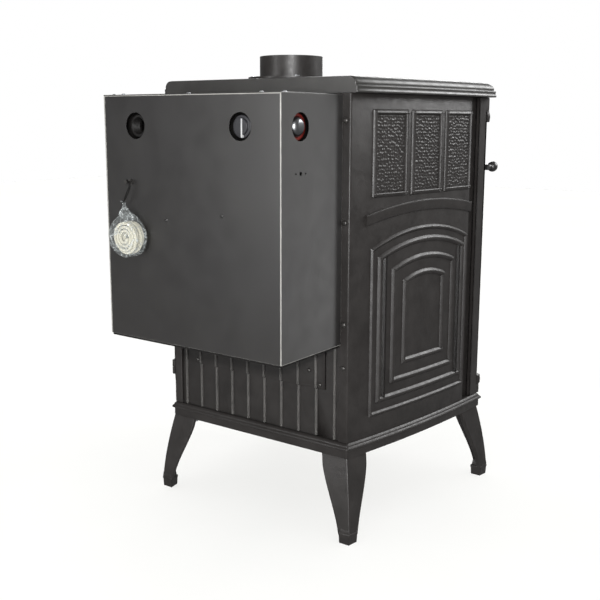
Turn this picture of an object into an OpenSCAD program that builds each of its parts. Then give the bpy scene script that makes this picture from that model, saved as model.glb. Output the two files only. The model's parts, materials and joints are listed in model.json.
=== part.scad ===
// Cast iron boiler stove on four legs, with a sheet steel jacket round its back boiler.
// Millimetres. The front faces -Y, the jacket is at +Y and the floor is z = 0.

/* [Body] */
// Width across the sides at the back
body_rear_w = 458; // [440:1:480]
// Width across the sides at the front
body_front_w = 580; // [560:1:600]
// Depth from the back face to the front frame
body_d = 457; // [445:1:475]
// Height of the walls between base and top plate
wall_h = 673; // [666:1:685]
// How far each side bulges past a straight line
side_bow = 10.5; // [8:0.5:13]
// Thickness of the cast walls
wall_t = 8; // [7:0.5:9]

/* [Base and legs] */
// Height of the legs
leg_h = 168; // [140:1:200]
// Thickness of the base plate at its rim
base_t = 31; // [28:1:34]
// How far the feet stand out past the base
leg_splay = 24; // [16:1:30]
// Width of each face of a leg at its top
leg_w = 60; // [54:1:64]
// Width of the square foot block
foot_w = 23; // [18:1:26]
// Height of the square foot block
foot_h = 22; // [18:1:28]

/* [Top plate and flue] */
// Thickness of the top plate
top_t = 31; // [28:1:36]
// How far the lower lip stands out at the sides and back
top_lip = 17; // [14:1:18]
// Outside diameter of the flue spigot
flue_od = 130; // [120:1:140]
// Wall of the flue spigot
flue_wall = 6; // [5:0.5:8]
// Height of the flue spigot above the top plate
flue_h = 48; // [40:1:70]
// Distance of the flue centre behind the middle of the body
flue_y = 102; // [96:1:108]

/* [Jacket and boiler] */
// How much narrower the jacket is than the back of the body
jacket_inset = 24; // [18:1:32]
// Offset of the jacket from the middle of the body
jacket_x = 4; // [0:0.5:4]
// Depth of the jacket behind the body
jacket_d = 189.5; // [180:0.5:200]
// Height of the jacket's lower edge above the base plate
jacket_low = 197; // [190:1:205]
// Distance of the jacket's upper edge below the top plate
jacket_drop = 4; // [4:0.5:8]
// Sheet thickness
sheet_t = 2; // [1.5:0.5:2.5]
// Diameter of the pipe holes in the jacket
pipe_hole_d = 50; // [48:1:54]
// Spacing of the two rear pipe holes
pipe_spacing = 258; // [250:1:264]
// Distance of the pipe holes below the jacket's upper edge
pipe_drop = 57; // [52:1:62]
// Outside diameter of the pipe sockets
socket_od = 42; // [38:1:44]
// Bore of the pipe sockets
socket_bore = 30.3; // [26:0.1:31]

/* [Doors] */
// Thickness of the door castings
door_t = 14; // [13:0.5:15]
// Width of the front beside the doorway
door_side = 62; // [60:1:68]
// Width of the door beside its window
window_side = 58; // [53:1:78]
// Thickness of the glass
glass_t = 4; // [3:0.5:5]
// Diameter of the hinge pins
pin_d = 6; // [5:0.5:7]
// Radial running clearance of pins and spindles
run_gap = 0.08; // [0.04:0.01:0.1]
// Diameter of the handle spindles
spindle_d = 12; // [10:0.5:14]
// Travel of the air slide
air_travel = 40; // [30:1:44]
// Travel of the riddling grate
riddle_travel = 12; // [8:1:13]

/* [Spare rope] */
// Diameter of the spare door rope
spare_d = 6; // [5:0.5:6.5]
// Gap between neighbouring turns
spare_gap = 0.5; // [0.5:0.1:0.8]
// Turns in each layer of the coil
spare_turns = 3; // [2:1:3]

/* [Hidden] */
$fn = 48;

// Small gaps between parts
seat_gap = 0.3;
lift_gap = 3;
leaf_gap = 2;
pass_gap = 0.25;

// Levels
base_top = leg_h + base_t;
wall_top = base_top + wall_h;
top_z = wall_top + top_t;

// Heights on the walls are measured for a wall of 673 and follow its height
function up(h) = h * wall_h / 673;
jacket_w = body_rear_w - jacket_inset;
doorway_half_w = body_front_w / 2 - door_side;
window_half_w = doorway_half_w - window_side;

// Side walls: each is an arc over the chord from the rear corner to the front corner
side_run = (body_front_w - body_rear_w) / 2;
side_len = sqrt(body_d * body_d + side_run * side_run);
side_half = side_len / 2;
side_angle = atan(side_run / body_d);
side_mid_x = (body_front_w + body_rear_w) / 4;
side_r = (side_half * side_half + side_bow * side_bow) / (2 * side_bow);
rear_y = body_d / 2;
front_y = -body_d / 2;

// Plan details
post_w = 30;
cove_w = 22;
cove_depth = 12;
cove_front_s = side_half - post_w;
cove_rear_s = cove_front_s - cove_w;
flange_w = 20;
flange_t = 6;
front_bow = 10;
front_t = 16;
front_lip = 14;
block_out = 12;

// Ornament shared by both sides: heights above the base plate, half widths from the middle
bead_h = 4;
frame_half = cove_rear_s - 9.5;
frame_w = (2 * frame_half - 24) / 3;
frame_low = up(477.5);
frame_high = up(644);
frame_bead = 9;
frame_sink = 2;
band_half = cove_rear_s - 3.5;
band_spring = up(447);
band_rise = 18;
band_h = 22;
arch_thin = [cove_rear_s - 18, 44, up(413), 8];
arch_thick = [cove_rear_s - 34, 63, up(391), 24];
arch_mid = [cove_rear_s - 71, 101, up(354), 11];
arch_small = [cove_rear_s - 105.5, 136, up(319), 10];
arch_rise = [30, 34, 27, 12];

// Rear panel
rib_pitch = (body_rear_w - 64.7) / 9;
rib_w = 5;
rib_h = 3;
rib_count = 10;
rear_t = 8;
rear_out_y = rear_y - flange_t;
hatch_half = body_rear_w / 2 - 55;
hatch_low = base_top + 99;
hatch_high = base_top + 192;
hatch_t = 3.5;
hatch_screw_at = [[hatch_half - 11.5, 8], [hatch_half - 38, 34], [hatch_half - 11.5, 84]];
flange_bolt_z = [up(623), up(433), up(237), up(151)];
bolt_head_d = 11;
bolt_head_h = 4.5;
flush_head_h = 3;
bolt_d = 6;

// Boiler and jacket
jacket_z0 = base_top + jacket_low;
jacket_z1 = wall_top - jacket_drop;
jacket_y = rear_y + jacket_d;
jacket_half = jacket_w / 2;
jacket_left = jacket_x - jacket_half;
jacket_right = jacket_x + jacket_half;
jacket_root = rear_y + seat_gap;
pipe_z = jacket_z1 - pipe_drop;
side_pipe_y = jacket_y - 55.5;
small_hole_z = jacket_z1 - 138;
small_hole_step = 14.5;
pipe_x = 6;
lid_t = 1.5;
tray_drop = 4.5;
tank_half = jacket_half - 29;
tank_z0 = base_top + 224;
tank_z1 = jacket_z1 - 30;
tank_y0 = rear_y - 22.5;
tank_y1 = jacket_y - 26;
tank_t = 4;
socket_out = 6;
tank_hole_gap = 0.5;

// Front doorway, door and hinge
doorway_low = base_top + 53;
doorway_high = wall_top - 66;
hinge_x = 13 - body_front_w / 2;
hinge_y = front_y - door_t / 2 - 0.5;
door_back_y = front_y - 0.5;
door_face_y = door_back_y - door_t;
door_half = body_front_w / 2 - 18;
door_low = base_top + 42;
door_high = wall_top - 56;
lug_r = 14;
lug_h = 20;
lug_out = 1.5;
pin_head_h = 3;
eye_depth = 16;
window_low = base_top + up(173);
window_spring = base_top + up(391);
window_rise = 45;
glass_lap = 10;
glass_rope_t = 3;
rope_w = 7;
rope_groove = 5.5;
handle_x = doorway_half_w - 20;
handle_z = base_top + up(321);
knob_x = 12 - body_front_w / 2;
knob_r = 12;
knob_y = -297;
slide_z = base_top + up(520);
slide_h = 26;
slide_t = 3;
slide_lift = 0.4;
vent_w = 34;
vent_h = 12;
vent_pitch = 85;
rosette_z = base_top + up(101);
rosette_r = 36;

// Side door, in the right side's own run
leaf_s0 = -side_half + 19;
leaf_s1 = cove_rear_s - 2;
leaf_low = base_top + 15;
leaf_high = base_top + up(421);
ring_t = 11;
ring_gap = 1.5;
ring_s0 = leaf_s0 + 27;
ring_s1 = leaf_s1 - 26;
ring_low = base_top + 151;
ring_high = base_top + up(391);
side_hinge_s = -side_half + 8.5;
side_hinge_n = 4;
side_eye_r = 7.5;
side_lug_h = 16;
side_lug_z = [62, up(342)];
side_handle_s = cove_rear_s - 46.5;
side_handle_z = base_top + up(231);
side_hub_r = 12;

// Inside the firebox
pit_half = body_rear_w / 2 - 61;
pit_l = body_d - 72;
pit_t = 8;
pit_high = base_top + 119;
grate_t = 12;
grate_z = pit_high + seat_gap;
grate_half_x = pit_half - 38;
grate_half_y = body_d / 2 - 108.5;
pan_half = pit_half - 18;
pan_l = body_d - 107;
pan_h = 62;
pan_t = 2;
brick_t = 28;
brick_pitch = (side_len - 131) / 3;
guard_half = doorway_half_w - 48;
ledge_z = base_top + up(500.5);
ledge_h = 9;
ledge_out = 22;
baffle_t = 12;
tie_at = [[body_rear_w / 2 - 24, rear_y - 25.5], [body_front_w / 2 - 28, front_y + 27.5]];
tie_d = 10;

// Spare rope coil in its bag, hung on the back of the jacket
hook_at = [jacket_half - 65, jacket_z0 + 308];
bag_x = jacket_half - 71;
bag_z = jacket_z0 + 204;
bag_r = 44;
bag_t = 1.2;
bag_depth = 38;
coil_r0 = 8;
coil_layers = 4;
coil_ring = 24;
coil_sides = 6;

// The row's origin is the middle of the part's plan
reach_front = knob_y - knob_r;
reach_rear = jacket_y + seat_gap + bag_depth;
origin_y = -(reach_front + reach_rear) / 2;

// Bulge of a side wall at run s, straight between stations that all side pieces share
stations = 16;
function station(i) = -side_half + side_len * i / stations;
function arc_bow(s) = sqrt(side_r * side_r - s * s) - side_r + side_bow;
function bow(s) =
    let (k = (min(max(s, -side_half), side_half) + side_half) / side_len * stations,
        i = min(floor(k), stations - 1))
    arc_bow(station(i)) + (arc_bow(station(i + 1)) - arc_bow(station(i))) * (k - i);
function stops(a, b) =
    concat([a], [for (i = [0 : stations]) if (station(i) > a + 0.05 && station(i) < b - 0.05) station(i)], [b]);

// A line along the side at n outside the wall's face, from run a to run b
function bow_line(a, b, n) = [for (s = stops(a, b)) [s, -(n + bow(s))]];
function reversed(list) = [for (i = [len(list) - 1 : -1 : 0]) list[i]];

// Plan corner points of a side line offset by n, as seen from above on the right
function side_point(s, n) =
    let (a = side_angle)
    [side_mid_x + s * sin(a) + n * cos(a), -s * cos(a) + n * sin(a)];

// Outline of the body in plan, offset by side, rear and front amounts
function plan_right(side, rear, front) =
    [for (s = stops(-side_half - rear, side_half + front)) side_point(s, side + bow(s))];
function plan_front(side, front, bulge, count = 12) =
    let (half = body_front_w / 2 + side)
    [for (i = [1 : count - 1]) let (u = 1 - 2 * i / count)
        [half * u, front_y - front - bulge * (1 - u * u)]];
function mirrored(list) = [for (p = reversed(list)) [-p[0], p[1]]];
function plan(side, rear, front, bulge = 0) =
    concat(plan_right(side, rear, front), plan_front(side, front, bulge),
        mirrored(plan_right(side, rear, front)));

// Half-width w, foot z0 and an arc of radius r about height zc
function arch(w, z0, zc, r, count = 16) =
    let (a = acos(w / r))
    concat([for (i = [0 : count]) let (t = a + (180 - 2 * a) * i / count) [r * cos(t), zc + r * sin(t)]],
        [[-w, z0], [w, z0]]);
function arch_r(w, rise) = (w * w + rise * rise) / (2 * rise);

// Shape of a leg: outer line and face width at height z
knee_z = leg_h - 22;
ankle_w = foot_w + 2;
function leg_out(z) = 2 + (leg_splay - 2) * (1 - pow(z / leg_h, 1.6));
function leg_face(z) =
    z > knee_z ? leg_w
    : ankle_w + (leg_w - ankle_w) * pow((z - foot_h) / (knee_z - foot_h), 0.9);
leg_steps = 9;
leg_levels = [for (i = [0 : leg_steps]) foot_h - 1 + (leg_h - foot_h + 1) * i / leg_steps];
function leg_profile(outer, inner, k = 1) =
    concat([for (z = leg_levels) [leg_out(z) * k - outer, z]],
        [for (z = reversed(leg_levels)) [leg_out(z) * k - leg_face(max(z, foot_h)) - inner, z]]);

module plan_slab(z0, z1, side, rear, front, bulge = 0)
    translate([0, 0, z0]) linear_extrude(z1 - z0) polygon(plan(side, rear, front, bulge));

module band(y0, y1, z0, z1, half = 400)
    translate([-half, y0, z0]) cube([2 * half, y1 - y0, z1 - z0]);

// Local frame of a side: x runs to the front, y points inward, z is up
module at_left() translate([-side_mid_x, 0, 0]) rotate([0, 0, -90 - side_angle]) children();
module at_right() mirror([1, 0, 0]) at_left() children();

module bow_wall(s0, s1, z0, z1, n0, n1)
    translate([0, 0, z0]) linear_extrude(z1 - z0)
        polygon(concat(bow_line(s0, s1, n1), reversed(bow_line(s0, s1, n0))));

// Flat outlines, drawn run against height, that follow the bowed face between n0 and n1
module relief(n0, n1)
    intersection() {
        bow_wall(-side_half, side_half, base_top, wall_top, n0, n1);
        rotate([90, 0, 0]) translate([0, 0, -60]) linear_extrude(120) children();
    }

module arch_ring(a, rise) {
    w = a[0];
    r = arch_r(w, rise);
    zc = a[2] - r;
    difference() {
        polygon(arch(w, a[1], zc, r));
        polygon(arch(w - a[3], a[1] + a[3], zc, r - a[3]));
    }
}

module rect(x0, x1, z0, z1) translate([x0, z0]) square([x1 - x0, z1 - z0]);

module frame_rings()
    for (i = [0 : 2]) {
        x0 = -frame_half + i * (2 * frame_half - frame_w) / 2;
        difference() {
            rect(x0, x0 + frame_w, frame_low, frame_high);
            rect(x0 + frame_bead, x0 + frame_w - frame_bead, frame_low + frame_bead, frame_high - frame_bead);
        }
    }

module frame_fields()
    for (i = [0 : 2]) {
        x0 = -frame_half + i * (2 * frame_half - frame_w) / 2;
        inset = frame_bead + 0.4;
        rect(x0 + inset, x0 + frame_w - inset, frame_low + inset, frame_high - inset);
    }

function arc_line(w, spring, rise, count = 12) =
    [for (i = [0 : count]) let (x = w - 2 * w * i / count, r = arch_r(w, rise))
        [x, spring + rise - r + sqrt(r * r - x * x)]];
module cornice_band()
    polygon(concat(arc_line(band_half, band_spring, band_rise),
        reversed(arc_line(band_half, band_spring - band_h, band_rise))));

module arches() {
    arch_ring(arch_thin, arch_rise[0]);
    difference() {
        arch_ring(arch_thick, arch_rise[1]);
        arch_ring([arch_thick[0] - 9, arch_thick[1] + 9, arch_thick[2] - 9, 6], arch_rise[1] - 2);
    }
    arch_ring(arch_mid, arch_rise[2]);
    arch_ring(arch_small, arch_rise[3]);
}

// Upper casting of a side: walls, cove, hammered frames and cornice, without the lower field
module side_upper() {
    relief(-1, bead_h) translate([0, base_top]) frame_rings();
    relief(-1, bead_h + 1) translate([0, base_top]) cornice_band();
}

module cove(z0, z1) {
    bow_wall(cove_rear_s, cove_front_s - pass_gap, z0, z1, -cove_depth - wall_t, -cove_depth);
    bow_wall(cove_rear_s - wall_t, cove_rear_s, z0, z1, -cove_depth - wall_t, -1);
}

// Rear flange that laps the rear panel
module rear_flange()
    intersection() {
        plan_slab(base_top, wall_top, 0, 0, 0);
        translate([-body_rear_w / 2 - 10, rear_out_y, base_top]) cube([flange_w + 10, flange_t, wall_h]);
    }

module flange_holes(flush)
    for (z = flange_bolt_z)
        translate([-body_rear_w / 2 + flange_w / 2, rear_y, base_top + z]) rotate([-90, 0, 0]) {
            translate([0, 0, -flange_t - 1]) cylinder(d = bolt_d + 2 * pass_gap, h = flange_t + 2);
            if (flush && under_jacket(z))
                translate([0, 0, -flush_head_h - seat_gap]) cylinder(d = bolt_head_d + 1, h = 10);
        }

// Flange bolts that the jacket covers have flush heads
function under_jacket(z) = base_top + z > jacket_z0 - bolt_head_d && base_top + z < jacket_z1 + bolt_head_d;

module baffle_ledge()
    bow_wall(80.5 - side_half, side_half - 140.5, ledge_z - ledge_h, ledge_z, -wall_t - ledge_out, -wall_t + 1);

module base_plate()
    color("dimgray") difference() {
        union() {
            difference() {
                union() {
                    plan_slab(leg_h, base_top - 10, 3, 3, 8, front_bow);
                    plan_slab(base_top - 10, base_top, 6, 5, front_lip, front_bow);
                }
                plan_slab(leg_h - 1, base_top - wall_t, -6, -6, 0, front_bow);
            }
            for (side = [-1, 1]) {
                base_pad(side * (body_rear_w / 2 + 1), rear_y + 1, side, 1);
                base_pad(side * body_front_w / 2, front_y - 2, side, -1);
            }
        }
        for (side = [-1, 1])
            for (i = [0, 1]) {
                p = tie_at[i];
                translate([side * p[0], p[1], leg_h + wall_t + 2])
                    cylinder(d = tie_d + 2 * pass_gap, h = base_t);
            }
        each_leg() leg_bolt_hole(leg_h - 1, leg_h + wall_t - 1);
    }

module base_pad(x, y, sx, sy)
    intersection() {
        plan_slab(leg_h, base_top - 1, -1, -1, 4, front_bow);
        translate([min(x, x - sx * 62), min(y, y - sy * 62), leg_h]) cube([62, 62, base_t - 1]);
    }

// Leg corners: the x and y of each corner and the way that it faces
leg_corners = [
    [-body_front_w / 2, front_y, -1, -1], [body_front_w / 2, front_y, 1, -1],
    [-body_rear_w / 2, rear_y, -1, 1], [body_rear_w / 2, rear_y, 1, 1]];

module leg_frame(i) {
    c = leg_corners[i];
    translate([c[0], c[1], 0]) mirror([c[2] < 0 ? 1 : 0, 0, 0]) mirror([0, c[3] < 0 ? 1 : 0, 0]) children();
}
module each_leg() for (i = [0 : 3]) leg_frame(i) children();

leg_bolt_in = -30;
module leg_bolt_hole(z0, z1)
    translate([leg_bolt_in, leg_bolt_in, z0]) cylinder(d = tie_d + 2 * pass_gap, h = z1 - z0);

// The side face of a leg follows the side wall, which is turned by this angle
function leg_turn(i) = leg_corners[i][3] * side_angle;
module square_post(i, outer, inner)
    let (a = leg_turn(i)) intersection() {
        rotate([90, 0, a]) translate([0, 0, -200]) linear_extrude(400)
            polygon(leg_profile(outer, inner, cos(a) + sin(a)));
        rotate([90, 0, 90]) translate([0, 0, -200]) linear_extrude(400) polygon(leg_profile(outer, inner));
    }
module foot_block(i)
    let (a = leg_turn(i), s = leg_splay, w = foot_w) linear_extrude(foot_h)
        polygon([[s, s], [s - w, s], [s - w + w * sin(a), s - w * cos(a)], [s + w * sin(a), s - w * cos(a)]]);

leg_wall = 9;
leg_flange = 10;
module leg(i)
    color("dimgray") leg_frame(i) difference() {
        union() {
            difference() {
                square_post(i, 0, 0);
                intersection() {
                    square_post(i, leg_wall, leg_w);
                    translate([-200, -200, foot_h + 10]) cube([400, 400, leg_h - leg_flange - foot_h - 10]);
                }
            }
            foot_block(i);
        }
        leg_bolt_hole(leg_h - leg_flange - 1, leg_h + 1);
    }

module leg_bolts()
    color("gray") each_leg() translate([leg_bolt_in, leg_bolt_in, leg_h - leg_flange]) {
        translate([0, 0, -7]) cylinder(d = 17, h = 7, $fn = 6);
        translate([0, 0, -1]) cylinder(d = tie_d, h = leg_flange + wall_t - 1);
    }

module left_side_panel()
    color("dimgray") difference() {
        union() {
            at_left() union() {
                bow_wall(-side_half + flange_t - 2, cove_rear_s, base_top, wall_top, -wall_t, 0);
                cove(base_top, wall_top);
                side_upper();
                relief(-1, bead_h) translate([0, base_top]) arches();
                baffle_ledge();
            }
            rear_flange();
        }
        at_left() relief(-frame_sink, bead_h + 2) translate([0, base_top]) frame_fields();
        flange_holes(false);
    }

module right_side_frame()
    color("dimgray") difference() {
        union() {
            difference() {
                at_right() union() {
                    bow_wall(-side_half + flange_t - 2, cove_rear_s, base_top, wall_top, -wall_t, 0);
                    cove(base_top, wall_top);
                    side_upper();
                    bow_wall(leaf_s0 - 6, leaf_s1 + 1, leaf_low - 8, leaf_high + 8,
                        -wall_t - ring_gap - ring_t, -wall_t + 0.5);
                    baffle_ledge();
                }
                at_right() relief(-frame_sink, bead_h + 2) translate([0, base_top]) frame_fields();
                at_right() relief(-wall_t - ring_gap, 20)
                    rect(leaf_s0 - leaf_gap, leaf_s1 + leaf_gap, leaf_low - leaf_gap, leaf_high + leaf_gap);
                at_right() relief(-50, 20) rect(ring_s0, ring_s1, ring_low, ring_high);
            }
            mirror([1, 0, 0]) rear_flange();
            for (z = side_lug_z) side_lug(base_top + z);
        }
        mirror([1, 0, 0]) flange_holes(true);
        for (z = side_lug_z)
            at_right() translate([side_hinge_s, -side_hinge_n, base_top + z]) {
                translate([0, 0, -1]) cylinder(d = pin_d, h = side_lug_h + 2);
                translate([0, 0, side_lug_h]) cylinder(r = side_eye_r + 0.5, h = side_lug_h + lift_gap);
            }
    }

module side_lug(z)
    at_right() translate([side_hinge_s, 0, z]) {
        translate([0, -side_hinge_n, 0]) cylinder(r = side_eye_r, h = side_lug_h);
        translate([-side_eye_r, -side_hinge_n, 0]) cube([2 * side_eye_r - 4, side_hinge_n + 3, side_lug_h]);
    }

module rear_panel()
    color("dimgray") difference() {
        union() {
            translate([-body_rear_w / 2 + 9, rear_out_y - rear_t, base_top])
                cube([body_rear_w - 18, rear_t, wall_h]);
            for (i = [0 : rib_count - 1]) {
                x = (i - (rib_count - 1) / 2) * rib_pitch;
                top = abs(x) < hatch_half + rib_w ? hatch_low - 2 : jacket_z0 + 12;
                translate([x - rib_w / 2, rear_out_y - 1, base_top]) cube([rib_w, rib_h + 1, top - base_top]);
            }
        }
        translate([-tank_half - tank_hole_gap, rear_out_y - rear_t - 1, tank_z0 - tank_hole_gap])
            cube([2 * (tank_half + tank_hole_gap), rear_t + 2, tank_z1 - tank_z0 + 2 * tank_hole_gap]);
        translate([-hatch_half + 24, rear_out_y - rear_t - 1, hatch_low + 12])
            cube([2 * (hatch_half - 24), rear_t + 2, hatch_high - hatch_low - 24]);
        for (side = [-1, 1]) {
            for (z = flange_bolt_z)
                translate([side * (body_rear_w - flange_w) / 2, rear_out_y - rear_t - 1, base_top + z])
                    rotate([-90, 0, 0]) cylinder(d = bolt_d + 2 * pass_gap, h = rear_t + 2);
            for (p = hatch_screw_at)
                translate([side * p[0], rear_out_y - rear_t - 1, hatch_low + p[1]])
                    rotate([-90, 0, 0]) cylinder(d = 5, h = rear_t + 2);
        }
    }

module rear_hatch()
    color("dimgray") difference() {
        union() {
            translate([-hatch_half, rear_out_y, hatch_low]) cube([2 * hatch_half, hatch_t, hatch_high - hatch_low]);
            for (i = [1 : rib_count - 2]) {
                x = (i - (rib_count - 1) / 2) * rib_pitch;
                translate([x - rib_w / 2, rear_out_y + hatch_t - 1, hatch_low + 1])
                    cube([rib_w, rib_h, hatch_high - hatch_low - 2]);
            }
        }
        for (side = [-1, 1])
            for (p = hatch_screw_at)
                translate([side * p[0], rear_out_y - 1, hatch_low + p[1]])
                    rotate([-90, 0, 0]) cylinder(d = 5, h = hatch_t + rib_h + 2);
    }

// Pan-head screw along +Y with its head's seat at y = 0
module pan_screw(head_d, head_h, d, length)
    rotate([-90, 0, 0]) union() {
        intersection() {
            translate([0, 0, head_h - head_d * 0.75]) sphere(r = head_d * 0.75, $fn = 40);
            cylinder(d = head_d, h = head_h);
        }
        translate([0, 0, -length]) cylinder(d = d, h = length + 1);
    }

module hatch_screws()
    color("silver")
        for (side = [-1, 1])
            for (p = hatch_screw_at)
                translate([side * p[0], rear_out_y + hatch_t, hatch_low + p[1]])
                    pan_screw(9, 3.5, 4.5, hatch_t + rear_t);

module flange_bolts()
    color("gray")
        for (side = [-1, 1])
            for (z = flange_bolt_z)
                translate([side * (body_rear_w - flange_w) / 2, rear_y, base_top + z])
                    if (side > 0 && under_jacket(z)) flush_screw();
                    else pan_screw(bolt_head_d, bolt_head_h, bolt_d, flange_t + rear_t);

module flush_screw()
    rotate([90, 0, 0]) union() {
        translate([0, 0, seat_gap]) cylinder(d = bolt_head_d, h = flush_head_h);
        cylinder(d = bolt_d, h = flange_t + rear_t);
    }

module front_frame()
    color("dimgray") difference() {
        union() {
            difference() {
                intersection() {
                    plan_slab(base_top, wall_top, 0, 0, 0);
                    band(front_y - 1, front_y + post_w, base_top - 1, wall_top + 1);
                }
                intersection() {
                    plan_slab(base_top - 1, wall_top + 1, -10, -10, 0);
                    band(front_y + front_t, front_y + post_w + 1, base_top - 2, wall_top + 2);
                }
                at_left() bow_wall(0, cove_front_s, base_top - 1, wall_top + 1, -60, 20);
                at_right() bow_wall(0, cove_front_s, base_top - 1, wall_top + 1, -60, 20);
            }
            front_block(base_top, base_top + lug_h);
            front_block(wall_top - 28, wall_top);
            translate([hinge_x - lug_out, hinge_y - lug_out, door_high + lift_gap]) front_lug();
            translate([hinge_x - lug_out, hinge_y - lug_out, door_low - seat_gap - lug_h]) front_lug();
        }
        translate([-doorway_half_w, front_y - 20, doorway_low])
            cube([2 * doorway_half_w, 60, doorway_high - doorway_low]);
        translate([hinge_x, hinge_y, door_high + lift_gap - 1]) cylinder(d = pin_d, h = lug_h + 2);
        translate([hinge_x, hinge_y, door_low - seat_gap - 1 - lug_h]) cylinder(d = pin_d, h = lug_h + 2);
    }

// Block of the frame that stands proud above or below the door
module front_block(z0, z1)
    intersection() {
        plan_slab(z0, z1, 0, 0, block_out);
        band(front_y - block_out, front_y + 1, z0, z1);
    }

module front_lug() {
    cylinder(r = lug_r, h = lug_h);
    translate([-lug_r + 3, 0, 0]) cube([2 * lug_r - 3, front_y - hinge_y + lug_out + 1, lug_h]);
}

top_layers = [[0, 8, 17, 12], [8, 15, 14, 9], [15, 24, 11, 6], [24, 28, 3, -2], [28, 31, 0, -5]];
module top_plate()
    color("gray") difference() {
        union() {
            difference() {
                for (layer = top_layers)
                    plan_slab(wall_top + layer[0] * top_t / 31, wall_top + layer[1] * top_t / 31,
                        layer[2] * top_lip / 17, layer[2] * top_lip / 17, layer[3] * top_lip / 17, front_bow);
                plan_slab(wall_top - 1, top_z - wall_t - 2, -10, -10, -10, 0);
            }
            for (side = [-1, 1])
                for (p = tie_at)
                    translate([side * p[0], p[1], wall_top + 6]) cylinder(r = 9, h = top_t - 8);
        }
        translate([0, flue_y, wall_top - 1]) cylinder(d = flue_od - 2 * flue_wall, h = top_t + 2);
        for (side = [-1, 1])
            for (p = tie_at)
                translate([side * p[0], p[1], wall_top]) cylinder(d = tie_d + 2 * pass_gap, h = top_t - 10);
        collar_pattern() translate([0, 0, top_z - 20]) cylinder(d = bolt_d + 2 * pass_gap, h = 21);
    }

module tie_rods()
    color("silver")
        for (side = [-1, 1])
            for (p = tie_at)
                translate([side * p[0], p[1], leg_h + wall_t + 2])
                    cylinder(d = tie_d, h = top_z - 10 - leg_h - wall_t - 2 - 0.5);

collar_flange = 24;
module collar_pattern()
    translate([0, flue_y, 0]) for (a = [45 : 90 : 315]) rotate([0, 0, a])
        translate([flue_od / 2 + collar_flange / 2 + 1, 0, 0]) children();

module flue_collar()
    color("dimgray") difference() {
        translate([0, flue_y, top_z]) difference() {
            union() {
                cylinder(d = flue_od + 2 * collar_flange, h = 6, $fn = 96);
                cylinder(d = flue_od + 5, h = 8, $fn = 96);
                cylinder(d = flue_od, h = flue_h, $fn = 96);
            }
            translate([0, 0, -1]) cylinder(d = flue_od - 2 * flue_wall, h = flue_h + 2, $fn = 96);
        }
        collar_pattern() translate([0, 0, top_z - 1]) cylinder(d = bolt_d + 2 * pass_gap, h = 9);
    }

module collar_bolts()
    color("silver") collar_pattern() translate([0, 0, top_z]) {
        translate([0, 0, 6]) cylinder(d = 11, h = 1.9, $fn = 6);
        translate([0, 0, -14]) cylinder(d = bolt_d, h = 21);
    }

module boiler_tank()
    color("black") difference() {
        translate([-tank_half, tank_y0, tank_z0])
            cube([2 * tank_half, tank_y1 - tank_y0, tank_z1 - tank_z0]);
        translate([-tank_half + tank_t, tank_y0 + tank_t, tank_z0 + tank_t])
            cube([2 * (tank_half - tank_t), tank_y1 - tank_y0 - 2 * tank_t, tank_z1 - tank_z0 - 2 * tank_t]);
        for (side = [-1, 1]) {
            translate([pipe_x + side * pipe_spacing / 2, tank_y1 - tank_t - 1, pipe_z])
                rotate([-90, 0, 0]) cylinder(d = socket_bore, h = tank_t + 2);
            translate([side * (tank_half - tank_t / 2), side_pipe_y, pipe_z])
                rotate([0, 90, 0]) cylinder(d = socket_bore, h = tank_t + 2, center = true);
        }
    }

// A socket along +Z with its root at z = 0
module socket(length)
    difference() {
        cylinder(d = socket_od, h = length);
        translate([0, 0, -1]) cylinder(d = socket_bore, h = length + 2);
    }

module rear_socket_frame(side)
    translate([pipe_x + side * pipe_spacing / 2, tank_y1, pipe_z]) rotate([-90, 0, 0]) children();
module side_socket_frame(side)
    translate([side * tank_half, side_pipe_y, pipe_z]) rotate([0, side * 90, 0]) children();
rear_socket_l = jacket_y - tank_y1 - sheet_t - socket_out;
side_socket_l = 12;

module pipe_sockets()
    color("dimgray") for (side = [-1, 1]) {
        rear_socket_frame(side) socket(rear_socket_l);
        side_socket_frame(side) socket(side_socket_l);
    }

module socket_plug()
    color("slategray") rear_socket_frame(-1) union() {
        translate([0, 0, rear_socket_l]) cylinder(d = socket_od - 2, h = 3);
        translate([0, 0, rear_socket_l + 2]) cylinder(d = 30, h = 5);
        translate([0, 0, rear_socket_l - 9]) cylinder(d = socket_bore - 0.6, h = 10);
    }

module vent_valves()
    color("silver") for (side = [-1, 1]) side_socket_frame(side) union() {
        translate([0, 0, side_socket_l - 9]) cylinder(d = socket_bore - 0.6, h = 14);
        intersection() {
            translate([0, 0, side_socket_l - 5]) sphere(d = 36);
            translate([0, 0, side_socket_l]) cylinder(d = 36, h = 14.5 - seat_gap);
        }
    }

module red_caps()
    color("firebrick") for (side = [-1, 1]) side_socket_frame(side) difference() {
        translate([0, 0, side_socket_l]) cylinder(d = socket_od + 6, h = 6);
        translate([0, 0, side_socket_l - 1]) cylinder(d = 36 + 2 * pass_gap, h = 8);
    }

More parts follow.
